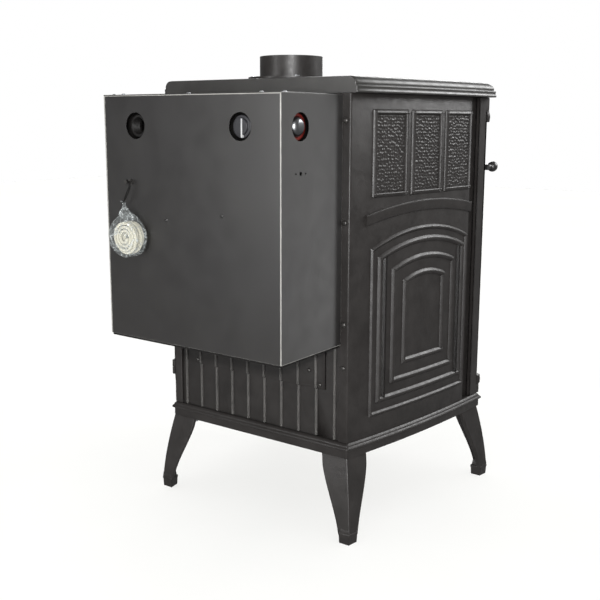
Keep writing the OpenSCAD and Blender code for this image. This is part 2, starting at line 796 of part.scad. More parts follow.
module jacket_shell()
    color("gray") difference() {
        translate([jacket_left, jacket_root, jacket_z0]) cube([jacket_w, jacket_y - jacket_root, jacket_z1 - jacket_z0]);
        translate([jacket_left + sheet_t, jacket_root + sheet_t, jacket_z0 - 1])
            cube([jacket_w - 2 * sheet_t, jacket_y - jacket_root - 2 * sheet_t, jacket_z1 - jacket_z0 + 2]);
        translate([jacket_left + 17, jacket_root - 1, jacket_z0 - 1])
            cube([jacket_w - 34, sheet_t + 2, jacket_z1 - jacket_z0 + 2]);
        for (side = [-1, 1]) {
            translate([pipe_x + side * pipe_spacing / 2, jacket_y - sheet_t - 1, pipe_z])
                rotate([-90, 0, 0]) cylinder(d = pipe_hole_d, h = sheet_t + 2);
            translate([jacket_x + side * (jacket_half - sheet_t / 2), side_pipe_y, pipe_z])
                rotate([0, 90, 0]) cylinder(d = pipe_hole_d, h = sheet_t + 2, center = true);
        }
        for (i = [-1 : 1])
            translate([jacket_left - 1, side_pipe_y - 1 + i * small_hole_step, small_hole_z])
                rotate([0, 90, 0]) cylinder(d = i == 0 ? 7 : 4, h = sheet_t + 2);
    }

module jacket_lid()
    color("gray") translate([jacket_left, jacket_root, jacket_z1])
        cube([jacket_w, jacket_y - jacket_root, lid_t]);

module jacket_base()
    color("black") difference() {
        translate([jacket_left + sheet_t + pass_gap, jacket_root + sheet_t + pass_gap, jacket_z0 - tray_drop])
            cube([jacket_w - 2 * (sheet_t + pass_gap), jacket_y - jacket_root - 2 * (sheet_t + pass_gap), 22]);
        translate([jacket_left + 2 * sheet_t + 1, jacket_root + 2 * sheet_t + 1, jacket_z0 - tray_drop + sheet_t])
            cube([jacket_w - 4 * sheet_t - 2, jacket_y - jacket_root - 4 * sheet_t - 2, 30]);
    }

// Screws in the lid, in the back of the jacket and under its tray
lid_screw_in = 21;
back_screw_at = [[60, jacket_z0 + 240], [-79, jacket_z0 + 256]];
module jacket_screws()
    color("silver") {
        for (x = [48 - jacket_half, 0, jacket_half - 48])
            translate([jacket_x + x, jacket_y - sheet_t - 6, jacket_z1 + lid_t]) rotate([90, 0, 0]) pan_screw(8, 2.2, 3, 0);
        for (side = [-1, 1])
            translate([jacket_x + side * (jacket_half - 8), jacket_y - lid_screw_in, jacket_z1 + lid_t])
                rotate([90, 0, 0]) pan_screw(8, 2.2, 3, 0);
        for (p = back_screw_at) translate([p[0], jacket_y, p[1]]) pan_screw(7, 2, 3, 0);
    }

module bag_hook()
    color("silver") translate([hook_at[0], jacket_y, hook_at[1]]) {
        rotate([-90, 0, 0]) cylinder(d = 12, h = 2);
        rotate([-90, 0, 0]) cylinder(d = 4, h = 14);
        translate([0, 12, 0]) rotate([-90, 0, 0]) cylinder(d = 8, h = 2.5);
    }

// Wire loop from the hook down to the neck of the bag
wire_d = 2;
wire_r = 2 + wire_d / 2 + 0.2;
neck_z = bag_z + bag_r + 8;
module tie_wire()
    color("black") translate([hook_at[0], jacket_y + 9.5, 0]) union() {
        for (side = [-1, 1])
            translate([side * wire_r, 0, neck_z + 1]) cylinder(d = wire_d, h = hook_at[1] - neck_z - 1, $fn = 16);
        translate([0, 0, hook_at[1]]) rotate([90, 0, 0]) intersection() {
            rotate_extrude() translate([wire_r, 0]) circle(d = wire_d, $fn = 16);
            translate([-10, -0.01, -5]) cube([20, 10, 10]);
        }
    }

module bag_profile(inset, shift)
    polygon([
        [0, shift], [bag_r - 7 - inset, shift], [bag_r - 2 - inset, shift + 4],
        [bag_r - inset, bag_depth / 2], [bag_r - 4 - inset, bag_depth - shift - 8],
        [bag_r - 13 - inset, bag_depth - shift], [0, bag_depth - shift]]);

module spare_bag()
    color("white") translate([bag_x, jacket_y + seat_gap, bag_z]) union() {
        difference() {
            rotate([-90, 0, 0]) rotate_extrude() bag_profile(0, 0);
            rotate([-90, 0, 0]) rotate_extrude() bag_profile(bag_t, bag_t);
        }
        translate([3, 10.5, bag_r - 3.5]) cylinder(r1 = 10, r2 = 6, h = 12.5);
    }

// Path of the coil: it spirals out, climbs a layer, spirals in, and so on
coil_pitch = (spare_d + spare_gap) / 0.89;
layer_steps = spare_turns * coil_ring;
climb_steps = coil_ring / 2;
coil_span = layer_steps + climb_steps;
coil_steps = coil_layers * layer_steps + (coil_layers - 1) * climb_steps;
function coil_layer(i) = min(floor(i / coil_span), coil_layers - 1);
function coil_in(i) = i - coil_layer(i) * coil_span;
function coil_rise(i) =
    coil_layer(i) + max(0, coil_in(i) - layer_steps) / climb_steps;
function coil_turn(i) =
    let (t = min(coil_in(i), layer_steps) / coil_ring)
    coil_layer(i) % 2 == 0 ? t : spare_turns - t;
function coil_point(i) =
    let (a = 360 * i / coil_ring, r = coil_r0 + coil_pitch * coil_turn(i))
    [r * cos(a), r * sin(a), coil_pitch * coil_rise(i)];

// Least distance between turns, on points of the path half a turn or more apart
function coil_gap() =
    min([for (i = [0 : 2 : coil_steps]) for (j = [i + coil_ring / 2 : 1 : coil_steps])
        norm(coil_point(i) - coil_point(j))]) - spare_d;

function unit(v) = v / norm(v);
function ring_points(i) =
    let (p = coil_point(i), q = coil_point(min(i + 1, coil_steps)), o = coil_point(max(i - 1, 0)),
        t = unit(q - o), b = unit(cross([0, 0, 1], t)), n = cross(t, b))
    [for (k = [0 : coil_sides - 1]) let (a = 360 * k / coil_sides)
        p + spare_d / 2 * (cos(a) * b + sin(a) * n)];
coil_points = [for (i = [0 : coil_steps]) each ring_points(i)];
coil_faces = concat(
    [for (i = [0 : coil_steps - 1]) for (k = [0 : coil_sides - 1])
        let (a = i * coil_sides + k, b = i * coil_sides + (k + 1) % coil_sides)
        each [[a, b, b + coil_sides], [a, b + coil_sides, a + coil_sides]]],
    [for (k = [1 : coil_sides - 2]) [0, k + 1, k]],
    [for (k = [1 : coil_sides - 2]) let (e = coil_steps * coil_sides) [e, e + k, e + k + 1]]);
coil_h = (coil_layers - 1) * coil_pitch;

module spare_rope_coil()
    color("beige")
        translate([bag_x - 1, jacket_y + 2 * seat_gap + bag_t + spare_d / 2, bag_z - 1.5])
            rotate([-90, 0, 0]) polyhedron(points = coil_points, faces = coil_faces);

module ash_pit()
    color("dimgray") difference() {
        translate([-pit_half, front_y + 34, base_top]) cube([2 * pit_half, pit_l, pit_high - base_top]);
        translate([-pit_half + pit_t, front_y + 33, base_top - 1])
            cube([2 * (pit_half - pit_t), pit_l + 1 - pit_t, pit_high - base_top + 2]);
    }

module ash_pan()
    color("silver") translate([0, front_y + 26, base_top]) difference() {
        union() {
            translate([-pan_half, 0, 0]) cube([2 * pan_half, pan_l, pan_h]);
            translate([-30, -2, pan_h - 14]) cube([60, 3, 34]);
        }
        translate([-pan_half + pan_t, pan_t, pan_t]) cube([2 * (pan_half - pan_t), pan_l - 2 * pan_t, pan_h]);
        translate([-20, -3, pan_h + 4]) cube([40, 5, 10]);
    }

module grate_frame()
    color("dimgray") difference() {
        intersection() {
            plan_slab(grate_z, grate_z + grate_t, -wall_t - ring_gap - ring_t - 1.5, 0, 0);
            band(front_y + 34, rear_y - 38, grate_z - 1, grate_z + grate_t + 1);
        }
        translate([-grate_half_x - 1, -grate_half_y - riddle_travel - 2, grate_z + 4])
            cube([2 * grate_half_x + 2, 2 * grate_half_y + riddle_travel + 4, grate_t]);
        translate([-grate_half_x + 8, -grate_half_y + 8, grate_z - 1])
            cube([2 * grate_half_x - 16, 2 * grate_half_y - riddle_travel - 16, grate_t]);
        translate([-6, -grate_half_y - riddle_travel - 2, grate_z - 1]) cube([12, riddle_travel + 12, 8]);
        for (side = [-1, 1])
            translate([side * guard_half - 6, front_y + 38, grate_z + 4]) cube([12, 8, grate_t]);
    }

module grate()
    color("dimgray") translate([0, 0, grate_z + 4 + seat_gap]) difference() {
        translate([-grate_half_x, -grate_half_y, 0]) cube([2 * grate_half_x, 2 * grate_half_y, grate_t - 4]);
        for (x = [-108 : 24 : 108], y = [22 - grate_half_y, 8])
            translate([x - 6, y, -1]) cube([12, grate_half_y - 30, grate_t]);
        translate([0, riddle_y, -1]) cylinder(d = riddle_pin_d + 2 * pass_gap, h = grate_t);
    }

riddle_y = -grate_half_y + 8;
riddle_pin_d = 8;
riddle_z = pit_high - 13;
riddle_end_y = front_y + 30;
module riddle_rod()
    color("silver") union() {
        translate([0, riddle_y, riddle_z]) cylinder(d = riddle_pin_d, h = grate_z + grate_t - 1 - riddle_z);
        translate([0, riddle_y + 4, riddle_z]) rotate([90, 0, 0])
            cylinder(d = 7, h = riddle_y + 4 - riddle_end_y - 8);
        translate([0, riddle_end_y, riddle_z]) rotate([0, 90, 0]) difference() {
            cylinder(r = 11, h = 6, center = true);
            cylinder(r = 6, h = 8, center = true);
        }
    }

module log_guard()
    color("dimgray") translate([0, front_y + 39, grate_z]) union() {
        for (side = [-1, 1]) translate([side * guard_half - 5, 0, 4]) cube([10, 6, 74]);
        for (z = [26, 66]) translate([-guard_half - 5, 0, z]) cube([2 * guard_half + 10, 6, 10]);
        for (x = [-140 : 40 : 140]) translate([x - 4, 0, 26]) cube([8, 6, 50]);
    }

module side_bricks()
    color("tan") for (i = [0, 1, 2])
        at_left() translate([(i - 1.5) * brick_pitch - 10, 14, grate_z + grate_t + seat_gap])
            cube([brick_pitch - 2, brick_t, up(250)]);

module rear_bricks()
    color("tan") for (i = [-2 : 1])
        translate([i * 92 + 1, rear_y - 66, grate_z + grate_t + seat_gap]) cube([90, 25, 84]);

module baffle()
    color("tan") intersection() {
        plan_slab(ledge_z + seat_gap, ledge_z + seat_gap + baffle_t, -14, 0, 0);
        band(front_y + 108, rear_y - 38, ledge_z - 1, ledge_z + baffle_t + 2);
    }

// Front door
top_pitch = (2 * door_half - 88) / 3;
rail_half = body_front_w / 2 - 40;
module window_outline(grow)
    polygon(arch(window_half_w + grow, window_low - grow,
        window_spring + window_rise - arch_r(window_half_w, window_rise),
        arch_r(window_half_w, window_rise) + grow));

// Outline drawn x against z, filling y0 to y1
module front_slab(y0, y1) translate([0, y1, 0]) rotate([90, 0, 0]) linear_extrude(y1 - y0) children();

rope_half_x = doorway_half_w + 8;
rope_low = doorway_low - 9;
rope_high = doorway_high + 8;
module rope_ring(grow)
    difference() {
        rect(-rope_half_x - grow, rope_half_x + grow, rope_low - grow, rope_high + grow);
        rect(-rope_half_x + rope_w + grow, rope_half_x - rope_w - grow,
            rope_low + rope_w + grow, rope_high - rope_w - grow);
    }

clip_at = [[-1, 0.12], [-1, 0.85], [1, 0.12], [1, 0.85]];
module clip_frames()
    for (c = clip_at)
        translate([c[0] * (window_half_w + glass_lap + 4), door_back_y,
            window_low + c[1] * (window_spring - window_low)]) children();

module front_door()
    color("dimgray") difference() {
        union() {
            translate([hinge_x, hinge_y, door_low]) cylinder(r = door_t / 2, h = door_high - door_low);
            translate([hinge_x, door_face_y, door_low]) cube([door_half - hinge_x, door_t, door_high - door_low]);
            front_slab(door_face_y - bead_h, door_face_y + 1) {
                difference() {
                    window_outline(16);
                    window_outline(5);
                }
                difference() {
                    window_outline(24);
                    window_outline(20);
                }
                for (i = [-1 : 1]) difference() {
                    rect((i - 0.5) * top_pitch + 4, (i + 0.5) * top_pitch - 4, base_top + up(548), base_top + up(606));
                    rect((i - 0.5) * top_pitch + 12, (i + 0.5) * top_pitch - 12, base_top + up(556), base_top + up(598));
                }
            }
            for (side = [-1, 1]) {
                z = slide_z + side * (slide_h / 2 + seat_gap + 2.5);
                translate([-rail_half, slide_face_y - seat_gap - 2, z - 2.5]) cube([2 * rail_half, slide_t + slide_lift + 3, 5]);
                translate([-rail_half, slide_face_y - seat_gap - 2, z - side * 1.5 - 3]) cube([2 * rail_half, 2, 6]);
            }
        }
        front_slab(door_face_y - 20, door_back_y + 20) window_outline(0);
        front_slab(door_back_y - 7, door_back_y + 20) window_outline(glass_lap + 0.5);
        front_slab(door_back_y - rope_groove, door_back_y + 1) rope_ring(0.2);
        for (i = [-2 : 2]) translate([i * vent_pitch - vent_w / 2, door_face_y - 1, slide_z - vent_h / 2])
            cube([vent_w, door_t + 2, vent_h]);
        for (z = [door_low - 1, door_high - eye_depth])
            translate([hinge_x, hinge_y, z]) cylinder(d = pin_d + 2 * run_gap, h = eye_depth + 1);
        translate([handle_x, door_face_y - 10, handle_z]) rotate([-90, 0, 0])
            cylinder(d = spindle_d + 2 * run_gap, h = door_t + 20);
        translate([0, door_face_y - 10, rosette_z]) rotate([-90, 0, 0]) {
            cylinder(d = 8 + 2 * run_gap, h = door_t + 20);
            for (a = [0 : 60 : 300]) rotate([0, 0, a]) translate([23, 0, 0]) cylinder(d = 11, h = door_t + 20);
        }
        clip_frames() rotate([90, 0, 0]) cylinder(d = 4, h = 6);
    }

glass_y = door_back_y - 7 + glass_rope_t + pass_gap;
module door_glass()
    color("lightgray") front_slab(glass_y, glass_y + glass_t) window_outline(glass_lap);

module glass_rope()
    color("ivory") front_slab(door_back_y - 7, door_back_y - 7 + glass_rope_t) difference() {
        window_outline(glass_lap);
        window_outline(1);
    }

clip_t = 2;
module glass_clips()
    color("silver") clip_frames() union() {
        translate([-17, glass_y + glass_t - door_back_y + 0.05, -7]) cube([34, clip_t, 14]);
        translate([0, 0.3, 0]) rotate([90, 0, 0]) cylinder(d = 3.6, h = 5);
        translate([0, glass_y + glass_t - door_back_y + clip_t, 0]) rotate([-90, 0, 0]) cylinder(d = 8, h = 2.4);
    }

module front_door_rope()
    color("ivory") front_slab(door_back_y - rope_groove, door_back_y + 0.2) rope_ring(0);

module front_hinge_pins()
    color("silver") {
        translate([hinge_x, hinge_y, door_high - eye_depth + 2]) cylinder(d = pin_d, h = lug_h + eye_depth + lift_gap - 2);
        translate([hinge_x, hinge_y, door_high + lift_gap + lug_h]) cylinder(d = pin_d + 4, h = pin_head_h);
        translate([hinge_x, hinge_y, door_low - seat_gap - lug_h]) cylinder(d = pin_d, h = lug_h + eye_depth - 2);
    }

lever_drop = 112;
hub_out = 24;
module front_handle()
    color("black") translate([handle_x, 0, handle_z]) union() {
        translate([0, front_y + front_t + 6, 0]) rotate([90, 0, 0])
            cylinder(d = spindle_d, h = front_t + 6 + door_t + 14);
        translate([0, door_face_y - seat_gap, 0]) rotate([90, 0, 0]) cylinder(d = 26, h = 8);
        translate([0, door_face_y - 8, 0]) rotate([90, 0, 0]) cylinder(d = 22, h = hub_out);
        translate([-7, door_face_y - 8 - hub_out, -26]) cube([14, 12, 30]);
    }

module front_grip()
    color("black") translate([handle_x, door_face_y - 8 - hub_out + 6, handle_z - 26 - seat_gap]) rotate([180, 0, 0])
        union() {
            cylinder(d = 20, h = lever_drop - 26);
            translate([0, 0, lever_drop - 26]) sphere(d = 23);
        }

module front_latch()
    color("silver") translate([handle_x, front_y + front_t + 1, handle_z]) difference() {
        union() {
            rotate([-90, 0, 0]) cylinder(d = 24, h = 5);
            translate([0, 0, -8]) cube([doorway_half_w - handle_x - 2.5, 5, 16]);
        }
        translate([0, -1, 0]) rotate([-90, 0, 0]) cylinder(d = spindle_d, h = 7);
    }

slide_face_y = door_face_y - slide_t - slide_lift;
knob_in = 24;
knob_post = 20;
module air_slide()
    color("dimgray") translate([0, slide_face_y, slide_z - slide_h / 2]) difference() {
        translate([-rail_half - 15, 0, 0]) cube([2 * rail_half - 5 - air_travel, slide_t, slide_h]);
        for (i = [-2 : 2])
            translate([i * vent_pitch - vent_w / 2 - air_travel, -1, slide_h / 2 - vent_h / 2])
                cube([vent_w, slide_t + 2, vent_h]);
        translate([knob_x + knob_in, -1, slide_h / 2]) rotate([-90, 0, 0]) cylinder(d = 4, h = slide_t + 2);
    }

module air_knob()
    color("black") translate([knob_x, 0, slide_z]) union() {
        translate([knob_in, slide_face_y + slide_t - 0.5, 0]) rotate([90, 0, 0]) cylinder(d = 3.6, h = slide_t);
        translate([knob_in, slide_face_y, 0]) rotate([90, 0, 0]) cylinder(d = 18, h = knob_post);
        translate([knob_in + 6, slide_face_y - knob_post + 8, 0]) rotate([0, -90, 0])
            cylinder(d = 13, h = knob_in + 14);
        translate([0, slide_face_y - knob_post + 8, 0]) rotate([90, 0, 0])
            cylinder(d = 11, h = slide_face_y - knob_post + 8 - knob_y);
        translate([0, knob_y, 0]) sphere(r = knob_r);
    }

module air_rosette()
    color("gray") translate([0, door_face_y - seat_gap, rosette_z]) rotate([90, 0, 0]) union() {
        difference() {
            cylinder(r = rosette_r, h = 5);
            for (a = [30 : 60 : 330]) rotate([0, 0, a]) translate([23, 0, -1]) cylinder(d = 11, h = 7);
        }
        cylinder(d = 24, h = 9);
        cylinder(d = 16, h = 20);
        translate([0, 0, -door_t - 3]) cylinder(d = 8, h = door_t + 4);
        translate([0, 0, -door_t - 4.6]) cylinder(d = 14, h = 4);
    }

// Side door
module side_door()
    color("dimgray") at_right() difference() {
        union() {
            bow_wall(leaf_s0, leaf_s1, leaf_low, leaf_high, -wall_t, 0);
            intersection() {
                bow_wall(leaf_s0, leaf_s1, leaf_low, leaf_high, -1, bead_h + 2);
                relief(-1, bead_h) translate([0, base_top]) arches();
            }
            for (z = side_lug_z) {
                translate([side_hinge_s, -side_hinge_n, base_top + z + side_lug_h + seat_gap])
                    cylinder(r = side_eye_r, h = side_lug_h);
                translate([side_hinge_s, -side_hinge_n - side_eye_r, base_top + z + side_lug_h + seat_gap])
                    cube([24, side_hinge_n + side_eye_r - 2, side_lug_h]);
                translate([leaf_s0, -side_hinge_n - side_eye_r, base_top + z + side_lug_h + seat_gap])
                    cube([13, side_eye_r + side_hinge_n + 3, side_lug_h]);
            }
            translate([side_handle_s, -bow(side_handle_s) - 7, side_handle_z]) rotate([-90, 0, 0])
                cylinder(r = 15, h = 10);
        }
        for (z = side_lug_z)
            translate([side_hinge_s, -side_hinge_n, base_top + z + side_lug_h])
                cylinder(d = pin_d + 2 * run_gap, h = side_lug_h + 1);
        translate([side_handle_s, -60, side_handle_z]) rotate([-90, 0, 0])
            cylinder(d = spindle_d + 2 * run_gap, h = 120);
        relief(-wall_t - 1, -wall_t + 3) side_rope_ring(0.2);
    }

module side_rope_ring(grow)
    difference() {
        rect(ring_s0 - 12 - grow, ring_s1 + 12 + grow, ring_low - 12 - grow, ring_high + 12 + grow);
        rect(ring_s0 - 5 + grow, ring_s1 + 5 - grow, ring_low - 5 + grow, ring_high + 5 - grow);
    }

module side_door_rope()
    color("ivory") at_right() relief(-wall_t - 1.2, -wall_t + 3) side_rope_ring(0);

module side_hinge_pins()
    color("silver") at_right() for (z = side_lug_z)
        translate([side_hinge_s, -side_hinge_n, base_top + z]) cylinder(d = pin_d, h = 2 * side_lug_h - 1);

side_face = 7 + bow(side_handle_s);
module side_handle()
    color("black") at_right() translate([side_handle_s, 0, side_handle_z]) union() {
        translate([0, wall_t + ring_gap + ring_t + 8 - bow(side_handle_s), 0]) rotate([90, 0, 0])
            cylinder(d = spindle_d, h = wall_t + ring_gap + ring_t + 8 + 12);
        translate([0, -side_face - seat_gap, 0]) rotate([90, 0, 0]) cylinder(r = side_hub_r, h = 12);
        translate([-8, -side_face - 15, -96]) cube([16, 9, 96]);
        translate([0, -side_face - 6 - seat_gap, -96]) rotate([90, 0, 0]) cylinder(r = 8, h = 8.7);
    }

module side_latch()
    color("silver") at_right()
        translate([side_handle_s, wall_t + ring_gap + ring_t + 1 - bow(side_handle_s), side_handle_z]) difference() {
            union() {
                rotate([-90, 0, 0]) cylinder(d = 24, h = 5);
                translate([0, 0, -8]) cube([ring_s1 - side_handle_s - 2.5, 5, 16]);
            }
            translate([0, -1, 0]) rotate([-90, 0, 0]) cylinder(d = spindle_d, h = 7);
        }

module placed() translate([0, origin_y, 0]) children();

echo(coil_gap = coil_gap(), origin_y = origin_y);

placed() base_plate();
placed() leg(0);  // leg_front_left
placed() leg(1);  // leg_front_right
placed() leg(2);  // leg_rear_left
placed() leg(3);  // leg_rear_right
placed() leg_bolts();
placed() left_side_panel();
placed() right_side_frame();
placed() rear_panel();
placed() rear_hatch();
placed() hatch_screws();
placed() flange_bolts();
placed() front_frame();
placed() top_plate();
placed() tie_rods();
placed() flue_collar();
placed() collar_bolts();
placed() boiler_tank();
placed() pipe_sockets();
placed() socket_plug();
placed() vent_valves();
placed() red_caps();
placed() jacket_shell();
placed() jacket_lid();
placed() jacket_base();
placed() jacket_screws();
placed() bag_hook();
placed() tie_wire();
placed() spare_bag();
placed() spare_rope_coil();
placed() ash_pit();
placed() ash_pan();
placed() grate_frame();
placed() grate();
placed() riddle_rod();
placed() log_guard();
placed() side_bricks();
placed() rear_bricks();
placed() baffle();
placed() front_door();
placed() door_glass();
placed() glass_rope();
placed() glass_clips();
placed() front_door_rope();
placed() front_hinge_pins();
placed() front_handle();
placed() front_grip();
placed() front_latch();
placed() air_slide();
placed() air_knob();
placed() air_rosette();
placed() side_door();
placed() side_door_rope();
placed() side_hinge_pins();
placed() side_handle();
placed() side_latch();
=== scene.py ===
"""A cast iron boiler stove seen from behind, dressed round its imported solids.

Working sizes are millimetres with the body's middle at y = 0; piece() turns them into the row frame in metres.
"""

import json
from math import atan, cos, hypot, pi, radians, sin

import bmesh
import bpy
import numpy as np
from mathutils import Matrix, Vector


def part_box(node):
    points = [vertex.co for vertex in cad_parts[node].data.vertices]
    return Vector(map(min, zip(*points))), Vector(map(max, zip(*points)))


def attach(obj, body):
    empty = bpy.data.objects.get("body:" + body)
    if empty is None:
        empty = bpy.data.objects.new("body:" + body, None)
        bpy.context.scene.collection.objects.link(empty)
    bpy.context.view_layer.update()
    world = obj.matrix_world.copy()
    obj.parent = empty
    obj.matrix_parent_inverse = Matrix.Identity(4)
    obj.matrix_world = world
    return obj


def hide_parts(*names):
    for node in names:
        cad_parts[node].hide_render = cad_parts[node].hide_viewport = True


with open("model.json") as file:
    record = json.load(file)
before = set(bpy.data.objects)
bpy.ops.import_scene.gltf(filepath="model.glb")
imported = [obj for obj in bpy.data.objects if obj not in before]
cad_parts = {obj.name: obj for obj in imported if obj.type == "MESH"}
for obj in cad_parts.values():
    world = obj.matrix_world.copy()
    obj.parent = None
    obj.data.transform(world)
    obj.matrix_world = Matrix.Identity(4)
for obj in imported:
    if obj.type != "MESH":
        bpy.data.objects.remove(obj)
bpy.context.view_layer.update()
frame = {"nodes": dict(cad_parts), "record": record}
BODY = {n: body for body, nodes in frame["record"]["behaviour"]["bodies"].items() for n in nodes}

# ---------------------------------------------------------------- the photograph's view
camera = bpy.data.objects.new("camera", bpy.data.cameras.new("camera"))
bpy.context.scene.collection.objects.link(camera)
bpy.context.scene.camera = camera
yaw, pitch, roll = radians(-54.12), radians(-10.07), radians(0.15)
ahead = Vector((cos(pitch) * cos(yaw), cos(pitch) * sin(yaw), sin(pitch)))
level = Vector((sin(yaw), -cos(yaw), 0))
lift = level.cross(ahead)
right = level * cos(roll) + lift * sin(roll)
above = lift * cos(roll) - level * sin(roll)
turn = Matrix((right, above, -ahead)).transposed().to_4x4()
camera.matrix_world = Matrix.Translation((-1.1301, 1.55475, 0.8222)) @ turn
camera.data.lens = 53.55
camera.data.sensor_width = 36
camera.data.shift_x = -0.0015
camera.data.shift_y = -0.0355

# ---------------------------------------------------------------- sizes that the pieces share, in mm
OFFSET_Y = -73.65
BASE_TOP, WALL_TOP, TOP_Z, LEG_H = 199, 872, 903, 168
REAR_Y, FRONT_Y = 228.5, -228.5
BODY_RUN, BODY_TAPER = 457, 61
ANGLE = atan(BODY_TAPER / BODY_RUN)
HALF = hypot(BODY_RUN, BODY_TAPER) / 2
MID_X = 259.5
BOW = 10.5
ARC_R = (HALF * HALF + BOW * BOW) / (2 * BOW)
COVE_REAR, COVE_FRONT = HALF - 52, HALF - 30
JACKET_Y, JACKET_X = 418, 4
FLUE_Y, FLUE_R = 102, 59
HATCH_HALF, HATCH_LOW, HATCH_HIGH = 174, 298, 391
SOCKET_Z = 811


# ---------------------------------------------------------------- shapes as whole arrays
def unit(v):
    return v / np.linalg.norm(v, axis=-1, keepdims=True)


def eased(corners, reach, steps=4):
    """A closed outline with soft corners: each corner C becomes C + (1-t)^2 r back + t^2 r ahead for t from 0
    to 1, with one more point held on the straight at each end. A corner of no reach stays one point."""
    c = np.asarray(corners, float)
    r = np.broadcast_to(np.asarray(reach, float), c.shape[:-1])[..., None, None]
    back, fore = unit(np.roll(c, 1, -2) - c), unit(np.roll(c, -1, -2) - c)
    t = np.linspace(0, 1, steps + 1)
    a = np.concatenate([[1.7], (1 - t) ** 2, [0]])[:, None]
    b = np.concatenate([[0], t ** 2, [1.7]])[:, None]
    full = c[..., None, :] + r * (a * back[..., None, :] + b * fore[..., None, :])
    if c.ndim == 2 and (r == 0).any():
        return full[(r[..., 0] > 0) | (np.arange(steps + 3) == 1)[None]]
    return full.reshape(c.shape[:-2] + (-1, c.shape[-1]))


def refined(outline, step):
    """More points along the long sides of a closed outline, no further apart than step."""
    run = np.roll(outline, -1, 0) - outline
    n = np.maximum(1, np.ceil(np.linalg.norm(run, axis=1) / step)).astype(int)
    k = np.arange(n.sum()) - np.repeat(np.cumsum(n) - n, n)
    return np.repeat(outline, n, 0) + np.repeat(run, n, 0) * (k / np.repeat(n, n))[:, None]


def mitres(outline):
    """Which way each point of an anticlockwise outline moves outward: (a + b) / (1 + a.b), a and b being the
    normals of its two sides."""
    step = unit(np.roll(outline, -1, -2) - outline)
    a = np.stack([step[..., 1], -step[..., 0]], -1)
    b = np.roll(a, 1, -2)
    return (a + b) / (1 + (a * b).sum(-1, keepdims=True))


def moulded(outline, profile):
    """A moulding run round a closed outline: point (out, up) of the profile gives the outline moved out along its
    mitres, at that height."""
    profile = np.asarray(profile, float)
    flat = outline[None] + profile[:, None, :1] * mitres(outline)[None]
    return np.concatenate([flat, np.broadcast_to(profile[:, None, 1:], flat.shape[:2] + (1,))], -1)


def shell(grid, around=True, along=False, caps=False):
    """Points P[i, j] joined to their neighbours. around closes the seam in j and along the one in i; caps lays a
    flat face on each end."""
    n, m = grid.shape[:2]
    i = np.arange(n if along else n - 1)[:, None]
    j = np.arange(m if around else m - 1)[None, :]
    i2, j2 = (i + 1) % n, (j + 1) % m
    quads = np.stack([i * m + j, i * m + j2, i2 * m + j2, i2 * m + j], -1).reshape(-1, 4)
    ends = [list(range(m))[::-1], list(range((n - 1) * m, n * m))] if caps else []
    return grid.reshape(-1, 3), quads, ends


def cross_axes(axis, hint=(0.0, 0.0, 1.0)):
    """An axis as a unit vector and two more square to it, the first one square to the hint too, or to Y where the
    axis stands upright."""
    w = unit(np.asarray(axis, float))
    u = unit(np.cross(w, hint if abs(w[2]) < 0.9 else (0.0, 1.0, 0.0)))
    return w, u, np.cross(w, u)


def turned(profile, at, axis, steps=32):
    """A lathe shape: profile (radius, height) turned about the axis through a point. Radius 0 makes a pole."""
    w, u, v = cross_axes(axis)
    profile = np.asarray(profile, float)
    a = np.arange(steps) * 2 * pi / steps
    around = np.cos(a)[:, None] * u + np.sin(a)[:, None] * v
    return shell(np.asarray(at, float) + profile[:, None, :1] * around[None] + profile[:, None, 1:] * w)


def soft_ends(z0, z1, soft):
    """Profile (out, up) of an upright wall from z0 to z1, with both ends rounded off by soft."""
    return [(-soft, z0), (-soft * 0.3, z0 + soft * 0.3), (0, z0 + soft),
            (0, z1 - soft), (-soft * 0.3, z1 - soft * 0.3), (-soft, z1)]


def block(low, high, soft=1.0):
    """A rectangular bar with softened edges between two corners."""
    (x0, y0, z0), (x1, y1, z1) = low, high
    outline = eased([(x0, y0), (x1, y0), (x1, y1), (x0, y1)], soft, 2)
    return shell(moulded(outline, soft_ends(z0, z1, soft)), caps=True)


def hose(path, radius, steps=12, closed=False, facing=(0.0, 1.0, 0.0), flat=1.0):
    """A tube carried along a path: at each point an oval in the plane across the path, its one half width being
    the radius and the other, towards the facing direction, flat times as much."""
    path = np.asarray(path, float)
    t = unit(np.roll(path, -1, 0) - np.roll(path, 1, 0)) if closed else unit(np.gradient(path, axis=0))
    u = unit(np.cross(t, np.asarray(facing, float)))
    v = np.cross(t, u)
    a = np.arange(steps) * 2 * pi / steps
    r = np.broadcast_to(np.asarray(radius, float), (len(path),))[:, None, None]
    ring = np.cos(a)[None, :, None] * u[:, None] + flat * np.sin(a)[None, :, None] * v[:, None]
    return shell(path[:, None] + r * ring, along=closed, caps=not closed)


def along_and_round(o, sides, step):
    """A map named rope for a tube: one number counts strands along it, step mm each, the other its turn."""
    layer = o.data.uv_layers.new(name="rope").uv
    loops = np.zeros(len(o.data.loops), np.int32)
    o.data.loops.foreach_get("vertex_index", loops)
    co = np.zeros(len(o.data.vertices) * 3)
    o.data.vertices.foreach_get("co", co)
    middle = co.reshape(-1, sides, 3).mean(1)
    run = np.concatenate([[0], np.cumsum(np.linalg.norm(np.diff(middle, axis=0), axis=1))]) * 1000 / step
    # the two end faces of an open tube come last, and a closing quad counts on instead of back to 0
    quads = loops[: len(loops) - len(loops) % (4 * sides)]
    i, j = np.divmod(quads.reshape(-1, 4), sides)
    j = np.where((j == 0) & (np.sort(j, 1)[:, 2:3] == sides - 1), sides, j)
    last = len(middle) - 1
    i = np.where((i == 0) & (np.sort(i, 1)[:, 2:3] == last), last + 1, i)
    run = np.append(run, run[-1] + 1)
    uv = np.zeros((len(loops), 2))
    uv[: len(quads)] = np.stack([run[i], j / sides], -1).reshape(-1, 2)
    layer.foreach_set("vector", uv.ravel())


